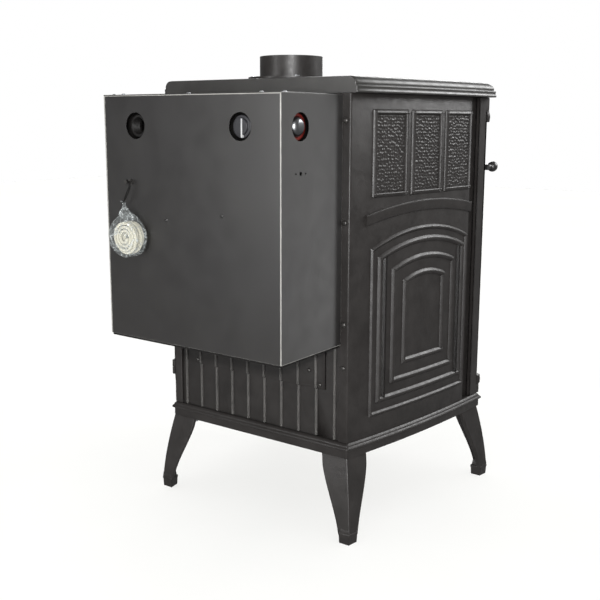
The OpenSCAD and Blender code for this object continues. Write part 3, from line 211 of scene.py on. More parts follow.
def piece(name, parts, finish, stands_for=(), body=None, keen=38, merge=True):
    """One object from several closed shells given in working millimetres: doubles merged, normals outward, edges
    keener than the angle kept sharp. It rides on the body of the first node that it stands for."""
    points = np.concatenate([p[0].reshape(-1, 3) for p in parts])
    starts = np.cumsum([0] + [p[0].size // 3 for p in parts]).tolist()
    faces = []
    for (_, quads, ends), start in zip(parts, starts):
        faces += (quads + start).tolist() + [[i + start for i in end] for end in ends]
    points = (points + [0, OFFSET_Y, 0]) * 0.001
    mesh = bpy.data.meshes.new(name)
    mesh.from_pydata(points.tolist(), [], faces)
    bm = bmesh.new()
    bm.from_mesh(mesh)
    if merge:
        bmesh.ops.remove_doubles(bm, verts=bm.verts, dist=2e-6)
    bmesh.ops.recalc_face_normals(bm, faces=bm.faces)
    bm.to_mesh(mesh)
    bm.free()
    mesh.shade_smooth()
    mesh.set_sharp_from_angle(angle=radians(keen))
    return carried(name, mesh, finish, stands_for, body)


def carried(name, mesh, finish, stands_for, body=None):
    """Puts a finished mesh into the scene on its body, with its material and the nodes that it stands for."""
    o = bpy.data.objects.new(name, mesh)
    bpy.context.scene.collection.objects.link(o)
    mesh.materials.clear()
    mesh.materials.append(finish)
    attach(o, body or BODY[stands_for[0]])
    if stands_for:
        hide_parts(*stands_for)
    return o


def softened(node, radius, finish, name, broad=None, rest=0.08, parts=2, wear_and_highlight=None, cut=False):
    """A copy of a CAD node with its facets merged, its flat faces joined and its keen edges rounded to the radius
    in mm. Where broad is given, it lists upright edges (x, y, share) with their share of the widest rounding, and
    rest is the share of every other edge over 8 mm long. cut first divides each face of more than four corners
    into triangles, because rounding can close the hole in such a face. The lighter edge finish, when given, goes
    on the rounded edges: partly paint worn thin, partly a painted highlight along them."""
    keen = radians(32)
    mesh = frame["nodes"][node].data.copy()
    bm = bmesh.new()
    bm.from_mesh(mesh)
    bmesh.ops.remove_doubles(bm, verts=bm.verts, dist=3e-6)
    bmesh.ops.dissolve_limit(bm, angle_limit=radians(0.4), verts=bm.verts, edges=bm.edges)
    bmesh.ops.recalc_face_normals(bm, faces=bm.faces)
    if cut:
        bmesh.ops.triangulate(bm, faces=[f for f in bm.faces if len(f.verts) > 4])
    if broad is not None:
        layer = bm.edges.layers.float.new("bevel_weight_edge")
        for e in bm.edges:
            if e.calc_face_angle(0) > keen:
                a, b = e.verts[0].co, e.verts[1].co
                hit = [w for x, y, w in broad if (a - b).xy.length < 1e-5 and abs(a.x - x / 1000) < 1e-4
                       and abs(a.y - (y + OFFSET_Y) / 1000) < 1e-4]
                e[layer] = hit[0] if hit else rest * (e.calc_length() > 0.008)
    bm.to_mesh(mesh)
    bm.free()
    mesh.shade_smooth()
    o = carried(name, mesh, finish, [node])
    bevel = o.modifiers.new("rounding", "BEVEL")
    bevel.width = radius / 1000
    bevel.segments = parts
    bevel.limit_method = "ANGLE" if broad is None else "WEIGHT"
    bevel.angle_limit = keen
    bevel.use_clamp_overlap = False
    # the rounded edges get the lighter finish: partly wear, partly a painted highlight along them
    if wear_and_highlight:
        mesh.materials.append(wear_and_highlight)
        bevel.material = 1
    even = o.modifiers.new("even_normals", "WEIGHTED_NORMAL")
    even.mode = "FACE_AREA"
    even.weight = 100
    return o


# ---------------------------------------------------------------- materials
def linear(colour):
    """An sRGB hex colour as linear red, green, blue and full alpha."""
    c = np.array([int(colour[i : i + 2], 16) for i in (1, 3, 5)]) / 255
    return (*np.where(c <= 0.04045, c / 12.92, ((c + 0.055) / 1.055) ** 2.4), 1.0)


def add(tree, kind, inputs=None, **settings):
    """Adds a node, sets its properties, and gives its inputs their values or links."""
    node = tree.nodes.new(kind)
    for key, value in settings.items():
        setattr(node, key, value)
    for key, value in (inputs or {}).items():
        if isinstance(value, bpy.types.NodeSocket):
            tree.links.new(value, node.inputs[key])
        else:
            node.inputs[key].default_value = value
    return node


def finish_of(name):
    """An empty material with its shader and output, and Object coordinates to build on."""
    material = bpy.data.materials.new(name)
    material.use_nodes = True
    tree = material.node_tree
    tree.nodes.clear()
    shader = add(tree, "ShaderNodeBsdfPrincipled")
    add(tree, "ShaderNodeOutputMaterial", {"Surface": shader.outputs[0]})
    return material, tree, shader, add(tree, "ShaderNodeTexCoord").outputs["Object"]


def coated(name, dark, light, patch, rough, grains, metal=0.0, detail=3.0, gloss=0.5):
    """A painted, cast or moulded surface. dark and light mix in patches of the given mm, roughness wanders between
    its two values, and each grain (mm across, mm deep) raises the surface."""
    material, tree, shader, place = finish_of(name)
    cloud = add(tree, "ShaderNodeTexNoise",
                {"Vector": place, "Scale": 1000 / patch, "Detail": 4.0, "Roughness": 0.6}).outputs[0]
    spread = add(tree, "ShaderNodeMapRange", {"Value": cloud, "From Min": 0.3, "From Max": 0.7}).outputs[0]
    colour = add(tree, "ShaderNodeMix", {"Factor": spread, "A": linear(dark), "B": linear(light)}, data_type="RGBA")
    tree.links.new(colour.outputs["Result"], shader.inputs["Base Color"])
    fine = add(tree, "ShaderNodeTexNoise",
               {"Vector": place, "Scale": 1000 / (patch * 0.23), "Detail": 2.0}).outputs[0]
    limits = {"Value": fine, "From Min": 0.3, "From Max": 0.7, "To Min": rough[0], "To Max": rough[1]}
    tree.links.new(add(tree, "ShaderNodeMapRange", limits).outputs[0], shader.inputs["Roughness"])
    normal = None
    for across, deep in grains:
        height = add(tree, "ShaderNodeTexNoise",
                     {"Vector": place, "Scale": 1000 / across, "Detail": detail}).outputs[0]
        links = {"Height": height, "Distance": deep / 1000, "Strength": 1.0}
        if normal:
            links["Normal"] = normal
        normal = add(tree, "ShaderNodeBump", links).outputs[0]
    if normal:
        tree.links.new(normal, shader.inputs["Normal"])
    shader.inputs["Metallic"].default_value = metal
    shader.inputs["Specular IOR Level"].default_value = gloss
    return material


# grey iron cast in sand under brushed matt stove paint: charcoal, a little brown, with a fine sandy grain
cast_iron_stove_paint = coated("cast_iron_stove_paint", "#191716", "#22201f", 45, (0.34, 0.48),
                               [(22, 0.4), (2.6, 0.12)], gloss=0.27)
# the same paint on the top casting, whose faces are ground first: smoother, and a lighter tone that is painted
# light, for the light that falls on the top from above
ground_and_lit_iron_stove_paint = coated("ground_and_lit_iron_stove_paint", "#1d1c1b", "#262523", 60, (0.36, 0.46),
                                 [(30, 0.2), (2.4, 0.05)], gloss=0.4)
# steel sheet in satin grey powder coat: even, with the flow of the powder as slight orange peel
satin_powder_coat = coated("satin_powder_coat", "#191818", "#1e1d1c", 160, (0.3, 0.36), [(3.0, 0.012)], gloss=0.45)
# the two paints lighter along the edges and on the back's ribs: partly worn thin by hands and packing, so the grey
# metal shows through, and partly a painted highlight for the light that edges and rib crests catch
wear_and_highlight_powder_coat = coated("wear_and_highlight_powder_coat", "#6a6966", "#84837f", 30, (0.3, 0.4), [(3.0, 0.01)])
wear_and_highlight_iron_paint = coated("wear_and_highlight_iron_paint", "#565553", "#666462", 24, (0.36, 0.48), [(2.6, 0.08)], gloss=0.2)
# black painted mild steel
black_painted_steel = coated("black_painted_steel", "#0c0b0b", "#121110", 30, (0.4, 0.6), [(4, 0.05)], gloss=0.15)
# zinc plated steel, slightly blue
zinc_plated_steel = coated("zinc_plated_steel", "#9a9ca0", "#b9bbbd", 14, (0.25, 0.42), [(1.6, 0.02)], metal=1.0)
# phosphated and oiled fasteners: dark steel with a soft shine
blackened_screw_steel = coated("blackened_screw_steel", "#2c2b2a", "#3d3b39", 8, (0.3, 0.45), [(1.5, 0.03)],
                               metal=0.6)
# chrome plated brass vent, coloured much darker than bright chrome as painted shade inside the jacket's hole
chrome_plate = coated("chrome_plate", "#5f6062", "#747577", 20, (0.28, 0.36), [(6, 0.01)], metal=1.0)
# phenolic plastic, black and moulded smooth
black_phenolic = coated("black_phenolic", "#121212", "#1a1919", 25, (0.28, 0.4), [(8, 0.02)])
# injection moulded dark grey polypropylene
grey_polypropylene = coated("grey_polypropylene", "#1b1b1e", "#222225", 12, (0.4, 0.5), [(3, 0.02)], gloss=0.25)
# the same plastic on the plug's fin, painted pale as the highlight on the fin's lit face
painted_highlight_polypropylene = coated("painted_highlight_polypropylene", "#8c8d8e", "#a3a4a4", 12, (0.3, 0.42), [(3, 0.02)])
# injection moulded red polyethylene protection cap, coloured darker than its own red as painted shade inside the
# jacket's hole
red_polyethylene = coated("red_polyethylene", "#3f0f0b", "#521510", 9, (0.22, 0.34), [(4, 0.03)], gloss=0.3)
# pressed vermiculite board: pale brown flakes
vermiculite_board = coated("vermiculite_board", "#94836a", "#b9a98c", 4, (0.8, 0.95), [(3, 0.5), (9, 0.3)])


def braided_rope():
    """White glass fibre rope, knitted: two sets of slanting strands cross over the rope, drawn a step apart so that
    they show, on the rope's own length and turn."""
    material, tree, shader, place = finish_of("knitted_glass_fibre")
    uv = add(tree, "ShaderNodeUVMap", uv_map="rope").outputs[0]
    split = add(tree, "ShaderNodeSeparateXYZ", {0: uv})
    waves = []
    for way in (1, -1):
        slant = add(tree, "ShaderNodeMath", {0: split.outputs[1], 1: 6.0 * way}, operation="MULTIPLY").outputs[0]
        phase = add(tree, "ShaderNodeMath", {0: split.outputs[0], 1: slant}, operation="ADD").outputs[0]
        angle = add(tree, "ShaderNodeMath", {0: phase, 1: 2 * pi}, operation="MULTIPLY").outputs[0]
        waves.append(add(tree, "ShaderNodeMath", {0: angle}, operation="SINE").outputs[0])
    weave = add(tree, "ShaderNodeMath", {0: waves[0], 1: waves[1]}, operation="MAXIMUM").outputs[0]
    fuzz = add(tree, "ShaderNodeTexNoise", {"Vector": place, "Scale": 900.0, "Detail": 2.0}).outputs[0]
    level_weave = add(tree, "ShaderNodeMapRange", {"Value": weave, "From Min": -1.0}).outputs[0]
    # darker down between the strands, lighter on their crests: painted shade in the grooves of the weave
    ramp = add(tree, "ShaderNodeValToRGB", {"Fac": level_weave})
    ramp.color_ramp.elements[0].color = linear("#7a7666")
    ramp.color_ramp.elements[1].color = linear("#b9b6a4")
    tree.links.new(ramp.outputs[0], shader.inputs["Base Color"])
    low = add(tree, "ShaderNodeBump", {"Height": weave, "Distance": 0.0004}).outputs[0]
    fibres = add(tree, "ShaderNodeBump", {"Height": fuzz, "Distance": 0.0002, "Normal": low}).outputs[0]
    tree.links.new(fibres, shader.inputs["Normal"])
    shader.inputs["Roughness"].default_value = 0.85
    shader.inputs["Sheen Weight"].default_value = 0.3
    return material


def plastic_film():
    """Thin clear film: nearly unseen where it lies flat, glossy all over, and more opaque and pale along its creases
    as painted glints of light.
    """
    material, tree, shader, place = finish_of("clear_polyethylene_film")
    noise = {"Vector": place, "Scale": 38.0, "Detail": 3.0, "Distortion": 1.2}
    wide = add(tree, "ShaderNodeTexNoise", noise).outputs[0]
    offset = add(tree, "ShaderNodeMath", {0: wide, 1: 0.5}, operation="SUBTRACT").outputs[0]
    ridge = add(tree, "ShaderNodeMath", {0: offset}, operation="ABSOLUTE").outputs[0]
    # the creases are drawn more opaque in the pale film colour: painted glints
    limits = {"Value": ridge, "From Min": 0.003, "From Max": 0.026, "To Min": 0.75, "To Max": 0.1}
    tree.links.new(add(tree, "ShaderNodeMapRange", limits).outputs[0], shader.inputs["Alpha"])
    bump = add(tree, "ShaderNodeBump", {"Height": ridge, "Distance": 0.003}).outputs[0]
    tree.links.new(bump, shader.inputs["Normal"])
    shader.inputs["Base Color"].default_value = linear("#9da2a2")
    shader.inputs["Roughness"].default_value = 0.16
    shader.inputs["Specular IOR Level"].default_value = 0.9
    return material


def glass_ceramic():
    """Clear fire resistant glass, faintly amber, with a thin film of soot in clouds."""
    material, tree, shader, place = finish_of("clear_glass_ceramic")
    soot = add(tree, "ShaderNodeTexNoise", {"Vector": place, "Scale": 9.0, "Detail": 5.0}).outputs[0]
    clouds = add(tree, "ShaderNodeMapRange", {"Value": soot, "To Min": 0.22, "To Max": 0.42}).outputs[0]
    tree.links.new(clouds, shader.inputs["Alpha"])
    shader.inputs["Base Color"].default_value = linear("#1d1a17")
    shader.inputs["Roughness"].default_value = 0.04
    return material


knitted_glass_fibre = braided_rope()
clear_polyethylene_film = plastic_film()
clear_glass_ceramic = glass_ceramic()


# ---------------------------------------------------------------- the spare rope, its bag and its tie
def coil_line(pitch=7.3034, ring=24, turns=3, layers=4, r0=8.0):
    """The wound rope's middle line: it spirals out by a pitch a turn, climbs a layer over half a turn, spirals in,
    and so on."""
    steps, climb = turns * ring, ring // 2
    i = np.arange(layers * steps + (layers - 1) * climb + 1)
    layer = np.minimum(i // (steps + climb), layers - 1)
    inside = i - layer * (steps + climb)
    t = np.minimum(inside, steps) / ring
    r = r0 + pitch * np.where(layer % 2 == 0, t, turns - t)
    rise = pitch * (layer + np.maximum(0, inside - steps) / climb)
    a = 2 * pi * i / ring
    return np.stack([145 + r * np.cos(a), 422.8 + rise, 598.5 - r * np.sin(a)], -1)


line = coil_line()
thickness = np.concatenate([[1.6, 2.6], np.full(len(line) - 4, 3.0), [2.6, 1.6]])
coil = piece("wound_spare_rope", [hose(line, thickness, 12)], knitted_glass_fibre, ["spare_rope_coil"], merge=False)
along_and_round(coil, 12, 2.2)


def film_bag():
    """Crumpled film round the coil: the radius at a height and turn is the bag's own, less sharp creases drawn as
    |sine| waves that lean with the turn and grow towards the rim, and less two flat facets; the rim is drawn up
    towards the neck, a pleated tube that leans to the tie."""
    rng = np.random.default_rng(11)
    levels, columns = 46, 144
    a = np.linspace(0, 2 * pi, columns, endpoint=False)[None, :]
    t = np.linspace(0, 1, levels)[:, None]
    at = [0, 0.16, 0.27, 0.34, 0.5, 0.66, 0.78, 0.9, 1]
    r = np.interp(t, at, [0.4, 30, 38, 42.5, 43.6, 41.5, 36, 18, 0.4])
    y = np.interp(t, at, [0.4, 0.5, 1.4, 5, 18, 29, 35, 36.6, 37])
    rim = np.exp(-(((t - 0.5) / 0.22) ** 2))
    crease = np.zeros((levels, columns))
    for k in range(9):
        n, lean, phase = rng.integers(5, 17), rng.uniform(-6, 6), rng.uniform(0, 2 * pi)
        deep = rng.uniform(0.3, 1.0)
        crease += deep * np.abs(np.sin(n * a / 2 + lean * t + phase + 0.8 * np.sin(3 * a + phase)))
    crease = crease / 5.5
    facet = np.maximum(0, np.cos(a - 2.4)) ** 6 * 3 + np.maximum(0, np.cos(a - 5.2)) ** 8 * 2.4
    r = r * (1 - 0.11 * crease * rim) - facet * rim
    y = y - 2.2 * crease * np.clip((t - 0.55) / 0.2, 0, 1) * np.clip((1 - t) / 0.1, 0, 1) + 0.2
    x0, z0 = 146 + r * np.cos(a), 600 + r * np.sin(a)
    past_neck = (a - pi / 2 - 0.12 + 2 * pi) % (2 * pi)
    pull = np.exp(-(past_neck ** 2) / 0.16) + np.exp(-((2 * pi - past_neck) ** 2) / 0.16)
    z0 = z0 + 7.5 * pull * rim
    x0 = x0 + 5.0 * pull * rim
    body = shell(np.stack([x0, 418.9 + y + 0 * a, z0], -1))
    u = np.linspace(0, 1, 16)[:, None]
    pleat = 1 + 0.24 * np.sin(9 * a + 5 * u) * (1 - 0.3 * u) + 0.12 * np.sin(5 * a - 7 * u)
    width = np.interp(u, [0, 0.35, 0.75, 0.86, 1], [17, 11, 3.6, 3.0, 6.4]) * pleat
    x, y, z = 149 + 13 * u ** 1.3, 433.5 - 3 * u, 636 + 30 * u
    neck = np.stack([x + width * np.cos(a), y + 0.62 * width * np.sin(a), z + 0.25 * width * np.cos(a)], -1)
    return [body, shell(neck, caps=True)]


piece("crumpled_film_bag", film_bag(), clear_polyethylene_film, ["spare_bag"], keen=180)


def strand(points, radius, count=40):
    """A wire on a smooth line through its points: cubic between them, by Catmull and Rom's weights."""
    q = np.asarray(points, float)
    q = np.concatenate([[2 * q[0] - q[1]], q, [2 * q[-1] - q[-2]]])
    t = np.linspace(0, len(q) - 3 - 1e-9, count)
    i, f = t.astype(int), (t % 1)[:, None]
    p0, p1, p2, p3 = q[i], q[i + 1], q[i + 2], q[i + 3]
    line = 0.5 * (2 * p1 + (p2 - p0) * f + (2 * p0 - 5 * p1 + 4 * p2 - p3) * f ** 2
                  + (3 * p1 - p0 - 3 * p2 + p3) * f ** 3)
    return hose(line, radius, 8)


short_end = [(154.5, 427, 701), (152, 427.5, 708), (148, 428, 704), (146, 429, 697), (149.5, 430, 688),
             (155, 431, 677), (159.5, 430.5, 668), (160, 430, 662)]
long_end = [(151, 429, 705), (146, 430, 705.5), (141.5, 431, 701), (142, 431, 694), (147, 431, 684),
            (154, 431.5, 672), (160, 432.5, 665), (165, 431.5, 664), (162, 427.5, 663.4), (158.6, 430, 663)]
piece("tie_wires", [strand(short_end, 1.0), strand(long_end, 1.0)], black_painted_steel, ["tie_wire"])

# ---------------------------------------------------------------- rope seals
def seal(name, node, line, wide, thick, finish_facing, count=12):
    """A rope seal laid in its groove: an oval tube round a closed line, knitted on the way."""
    o = piece(name, [hose(line, wide / 2, count, True, finish_facing, thick / wide)], knitted_glass_fibre, [node],
              merge=False)
    along_and_round(o, count, 2.6)
    return o


def node_box(node):
    """Lowest and highest corner of a node in working millimetres."""
    low, high = (np.array(c) * 1000 - [0, OFFSET_Y, 0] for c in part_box(node))
    return low, high


def ring_in_front(node, wide, arched=False):
    """Middle line of a front seal, from its node's box: a soft cornered rectangle, or one with an arched top."""
    low, high = node_box(node)
    half, z0, z1 = high[0] - wide / 2, low[2] + wide / 2, high[2] - wide / 2
    flat = eased([(-half, z0), (half, z0), (half, z1), (-half, z1)], 7, 4)
    if arched:
        r = (half * half + 45 ** 2) / 90
        a = np.linspace(np.arccos(half / r), pi - np.arccos(half / r), 30)
        top = np.stack([r * np.cos(a), z1 - r + r * np.sin(a)], -1)
        flat = np.concatenate([top, [(-half, z0), (half, z0)]])
    flat = refined(flat, 12)
    return np.stack([flat[:, 0], np.full(len(flat), (low[1] + high[1]) / 2), flat[:, 1]], -1), high[1] - low[1]


line, thick = ring_in_front("front_door_rope", 7)
seal("front_door_seal", "front_door_rope", line, 7, thick, (0, 1, 0))
line, thick = ring_in_front("glass_rope", 9, True)
seal("glass_seal", "glass_rope", line, 8.6, thick, (0, 1, 0))

# ---------------------------------------------------------------- side castings
def bow(s):
    """Bulge of a side wall at run s: a circle's arc over its chord, and nothing past the chord's ends."""
    s = np.clip(s, -HALF, HALF)
    return np.sqrt(ARC_R ** 2 - s * s) - ARC_R + BOW


def on_side(part, side):
    """A shell drawn as run, out, height laid on the bowed wall of one side, -1 left and 1 right."""
    points, quads, ends = part
    s, n = points[:, 0], points[:, 1] + bow(points[:, 0])
    x = side * (MID_X + s * sin(ANGLE) + n * cos(ANGLE))
    return np.stack([x, n * sin(ANGLE) - s * cos(ANGLE), points[:, 2]], -1), quads, ends


def relief(grid, **how):
    """A moulding drawn run against height, whose third number is how far it stands out."""
    return shell(grid[..., [0, 2, 1]], **how)


def bead(width, height):
    """Section of a cast bead inside its outer line: two nearly flat flanks that meet in a round crest."""
    flank = [(0.9, -1.5), (0.5, 0.1), (-0.3, 0.9), (-0.27 * width, height * 0.8), (-0.36 * width, height * 0.95),
             (-0.5 * width, height)]
    return np.array(flank + [(-width - out, up) for out, up in flank[-2::-1]])


def arch_line(half, foot, peak, rise, shift=0.0, count=36):
    """Outline of an arched panel: two corners at its feet, upright sides, and a circle's arc of the given rise."""
    r = (half * half + rise * rise) / (2 * rise)
    a = np.linspace(np.arccos(half / r), pi - np.arccos(half / r), count)
    arc = np.stack([r * np.cos(a), peak - r + r * np.sin(a)], -1)
    reach = np.concatenate([[1.2], np.zeros(count - 2), [1.2], [1.6, 1.6]])
    return refined(eased(np.concatenate([arc, [(-half, foot), (half, foot)]]), reach) + [shift, BASE_TOP], 14)


def upright(s, low, high, section):
    """A straight moulding that stands on the wall from low to high."""
    section = np.asarray(section)
    z = BASE_TOP + np.array([low, high])
    return shell(np.stack(np.broadcast_arrays(s + section[:, :1], section[:, 1:], z[None]), -1), caps=True)


def arches():
    """The four arched mouldings of a side, from the outer thin bead to the inner one; the second one has a
    further bead beside each upright."""
    broad = COVE_REAR - 30
    lines = [(arch_line(COVE_REAR - 13, 39.5, 413, 33, -5.5), bead(9, 4.2)),
             (arch_line(broad, 65, 391, 29, -2), bead(12.5, 5.2)),
             (arch_line(COVE_REAR - 70, 97, 355.5, 21), bead(12, 4.8)),
             (arch_line(COVE_REAR - 106.5, 132, 322, 14.5), bead(12, 4.8))]
    return [relief(moulded(line, section), along=True) for line, section in lines] + [
        upright(s - 2, 72, top, bead(11.5, 5.0)) for s, top in ((-broad + 27, 360), (broad - 15, 360))]


def hammered(s0, s1, z0, z1, seed):
    """A field beaten all over: points lie at the least squared distance to a jittered net of 6 mm cells, so each
    cell is a shallow bowl and its rim a ridge."""
    rng = np.random.default_rng(seed)
    s, z = np.meshgrid(np.linspace(s0, s1, 74), np.linspace(z0, z1, 126), indexing="ij")
    ci, cj = np.meshgrid(np.arange(s0 - 6, s1 + 6, 5.6), np.arange(z0 - 6, z1 + 6, 6.4), indexing="ij")
    nets = np.stack([ci, cj], -1).reshape(-1, 2) + rng.uniform(-2.1, 2.1, (ci.size, 2))
    away = ((s.reshape(-1, 1) - nets[:, 0]) ** 2 + (z.reshape(-1, 1) - nets[:, 1]) ** 2).min(1)
    rise = 0.1 + 1.35 * np.clip(away.reshape(s.shape) / 13, 0, 1)
    top = np.stack([s, rise, z], -1)
    under = np.stack([s, np.full_like(s, -1.0), z], -1)
    rim = np.zeros_like(s, bool)
    rim[[0, -1]] = rim[:, [0, -1]] = True
    top[rim] = under[rim]
    return shell(top, around=False)


FRAME_SECTION = [(0.8, -1.5), (0.4, 0.2), (-0.4, 1.6), (-5.2, 4.7), (-6.2, 5.0), (-7.4, 4.6), (-8.2, 3.4),
                 (-9.4, 1.0), (-9.8, -1.5)]


def upper_ornament():
    """Three hammered panels in bead frames, over the arched cornice."""
    rear, fore, high = 8 - COVE_REAR, COVE_REAR - 15.5, (477.5, 644)
    width = (fore - rear - 24) / 3
    parts = []
    for i in range(3):
        s0 = rear + i * (width + 12)
        corners = [(s0, high[0]), (s0 + width, high[0]), (s0 + width, high[1]), (s0, high[1])]
        line = eased(corners, 1.4) + [0, BASE_TOP]
        parts.append(relief(moulded(refined(line, 20), FRAME_SECTION), along=True))
        parts.append(hammered(s0 + 9.5, s0 + width - 9.5, BASE_TOP + high[0] + 9.5, BASE_TOP + high[1] - 9.5, 7 + i))
    half, rise, spring, tall = COVE_REAR - 3.5, 18, BASE_TOP + 448, 22
    r = (half * half + rise * rise) / (2 * rise)
    s = np.linspace(-half - 13, half - 6, 48)[:, None]
    low = spring - tall + rise - r + np.sqrt(r * r - s * s)
    across = np.array([(-0.04, -1.5), (0.0, 1.2), (0.05, 2.6), (0.14, 3.4), (0.5, 3.9), (0.8, 4.6), (0.93, 4.7),
                       (0.98, 4.2), (1.0, 2.5), (1.03, -1.5)])
    band = np.stack(np.broadcast_arrays(s, across[None, :, 1], low + tall * across[None, :, 0]), -1)
    parts.append(shell(band, caps=True))
    return parts


def wall(outline, reach, z0, z1, soft=1.2):
    """A wall of a side casting: its plan section (run, out) carried upright from z0 to z1."""
    return shell(moulded(refined(eased(outline, reach, 3), 24), soft_ends(z0, z1, soft)), caps=True)


WHOLE = [(-HALF, 0), (-233.1, -19.8), (-227.2, -20.6), (-225.5, -8), (COVE_REAR - 8, -8), (COVE_REAR - 8, -20),
         (COVE_FRONT - 0.3, -20), (COVE_FRONT - 0.3, -12), (COVE_REAR + 3, -12), (COVE_REAR - 1, -10.6),
         (COVE_REAR - 3.4, -7.6), (COVE_REAR - 6.4, -4.6), (COVE_REAR - 10.5, -2.1), (COVE_REAR - 15.5, -0.6),
         (COVE_REAR - 22, 0)]
WHOLE_SOFT = [3.2, 1, 1, 2, 2, 1, 1, 1] + [0] * 7
ledge = block((80.5 - HALF, -8 - 22, BASE_TOP + 491.5), (HALF - 140.5, -7, BASE_TOP + 500.5), 0.8)

piece("left_side_casting",
      [on_side(p, -1) for p in [wall(WHOLE, WHOLE_SOFT, BASE_TOP, WALL_TOP), ledge] + upper_ornament() + arches()],
      cast_iron_stove_paint, ["left_side_panel"])

LEAF0, LEAF1 = -HALF + 19, COVE_REAR - 2
groove = [(LEAF0 + 18.5, BASE_TOP + 142.5), (LEAF1 - 17.5, BASE_TOP + 142.5),
          (LEAF1 - 17.5, BASE_TOP + 399.5), (LEAF0 + 18.5, BASE_TOP + 399.5)]
line = refined(eased(groove, 6, 4), 12)
track = on_side((np.stack([line[:, 0], 0 * line[:, 0] - 7.1, line[:, 1]], -1), None, None), 1)[0]
seal("side_door_seal", "side_door_rope", track, 7, 4.2, (cos(ANGLE), sin(ANGLE), 0))
softened("right_side_frame", 1.6, cast_iron_stove_paint, "right_side_casting")
fields = [hammered(s - 42.8, s + 42.8, BASE_TOP + 487, BASE_TOP + 634.5, 17 + i)
          for i, s in enumerate((-116.7, 0, 116.7))]
piece("right_hammered_fields", [on_side((g - [0, 1.0, 0], q, e), 1) for g, q, e in fields],
      cast_iron_stove_paint, body="stove_body")
softened("side_door", 1.6, cast_iron_stove_paint, "side_door_leaf")


# ---------------------------------------------------------------- base, top and legs
def plan(front, bulge):
    """The body's outline seen from above, anticlockwise: bowed left side, front with a slight bulge, right side,
    straight back."""
    s = np.linspace(-HALF, HALF + front, 17)
    n = bow(s)
    x, y = MID_X + s * sin(ANGLE) + n * cos(ANGLE), n * sin(ANGLE) - s * cos(ANGLE)
    u = np.linspace(-1, 1, 15)[1:-1]
    return np.concatenate([np.stack([-x, y], -1), np.stack([x[-1] * u, y[-1] - bulge * (1 - u * u)], -1),
                           np.stack([x, y], -1)[::-1]])


def ledge_round(line, edge, rear, soft):
    """A moulding round the body's outline whose back is cut flat at rear, with its four corners softened."""
    rings = moulded(line, edge)
    rings[..., 1] = np.minimum(rings[..., 1], rear)
    reach = np.zeros(len(line))
    reach[[0, 16, len(line) - 17, -1]] = soft
    round_xy = eased(rings[..., :2], reach, 3)
    return np.concatenate([round_xy, np.broadcast_to(rings[:, :1, 2:], round_xy.shape[:2] + (1,))], -1)


def top_casting():
    """Top plate: its edge section is an ovolo over a groove and a lip, run round the plan; the top closes in to
    the round flue way and the underside is hollow."""
    edge = [(-10, 893), (-10, 872.3), (15.6, 872.2), (16.5, 872.6), (17, 873.6), (17, 875.2), (16.6, 876.6),
            (15.9, 877.6), (15.5, 879.5), (15.6, 881.6), (16.1, 883.2), (16.0, 884.6), (15.2, 885.7), (13.9, 886.2),
            (12.6, 886.3), (12.3, 887.0), (12.7, 888.2), (12.8, 889.8), (12.3, 892), (11.2, 894.4), (9.5, 896.6),
            (7.2, 898.6), (4.4, 900.3), (1.2, 901.6), (-2.2, 902.5), (-5, 902.9), (-8, TOP_Z)]
    rings = ledge_round(plan(-5, 10), edge, REAR_Y, [3, 2.5, 2.5, 3])
    a = np.arctan2(rings[-1, :, 1] - FLUE_Y, rings[-1, :, 0])
    hole = np.stack([np.stack([FLUE_R * np.cos(a), FLUE_Y + FLUE_R * np.sin(a), 0 * a + z], -1)
                     for z in (TOP_Z, TOP_Z - 0.5, TOP_Z - 9.5, TOP_Z - 10)])
    return shell(np.concatenate([rings, hole]), along=True)


def base_casting():
    """Base plate: an upper ledge with a round nose over a plain fascia, hollow underneath."""
    edge = [(-8, 190), (-8, 168.6), (-7, 168), (1.6, 168), (2.7, 168.5), (3, 169.6), (3, 183.6), (3.2, 184.8),
            (4.4, 185.3), (6.2, 185.7), (7.3, 186.7), (7.5, 188), (7.1, 189.3), (4.6, 192), (3.9, 192.8),
            (3.7, 193.7), (3.4, 194.6), (0.9, 197.3), (-0.4, 198.4), (-2, BASE_TOP), (-6, BASE_TOP)]
    return shell(ledge_round(plan(5, 10), edge, 240, [4, 3, 3, 4]), caps=True)


# the top casting's paint is lighter than the body's: painted light from above
piece("top_casting", [top_casting()], ground_and_lit_iron_stove_paint, ["top_plate"], keen=50)
piece("base_casting", [base_casting()], cast_iron_stove_paint, ["base_plate"], keen=50)

LEGS = {"leg_front_left": (-290, FRONT_Y, -1, -1), "leg_front_right": (290, FRONT_Y, 1, -1),
        "leg_rear_left": (-229, REAR_Y, -1, 1), "leg_rear_right": (229, REAR_Y, 1, 1)}


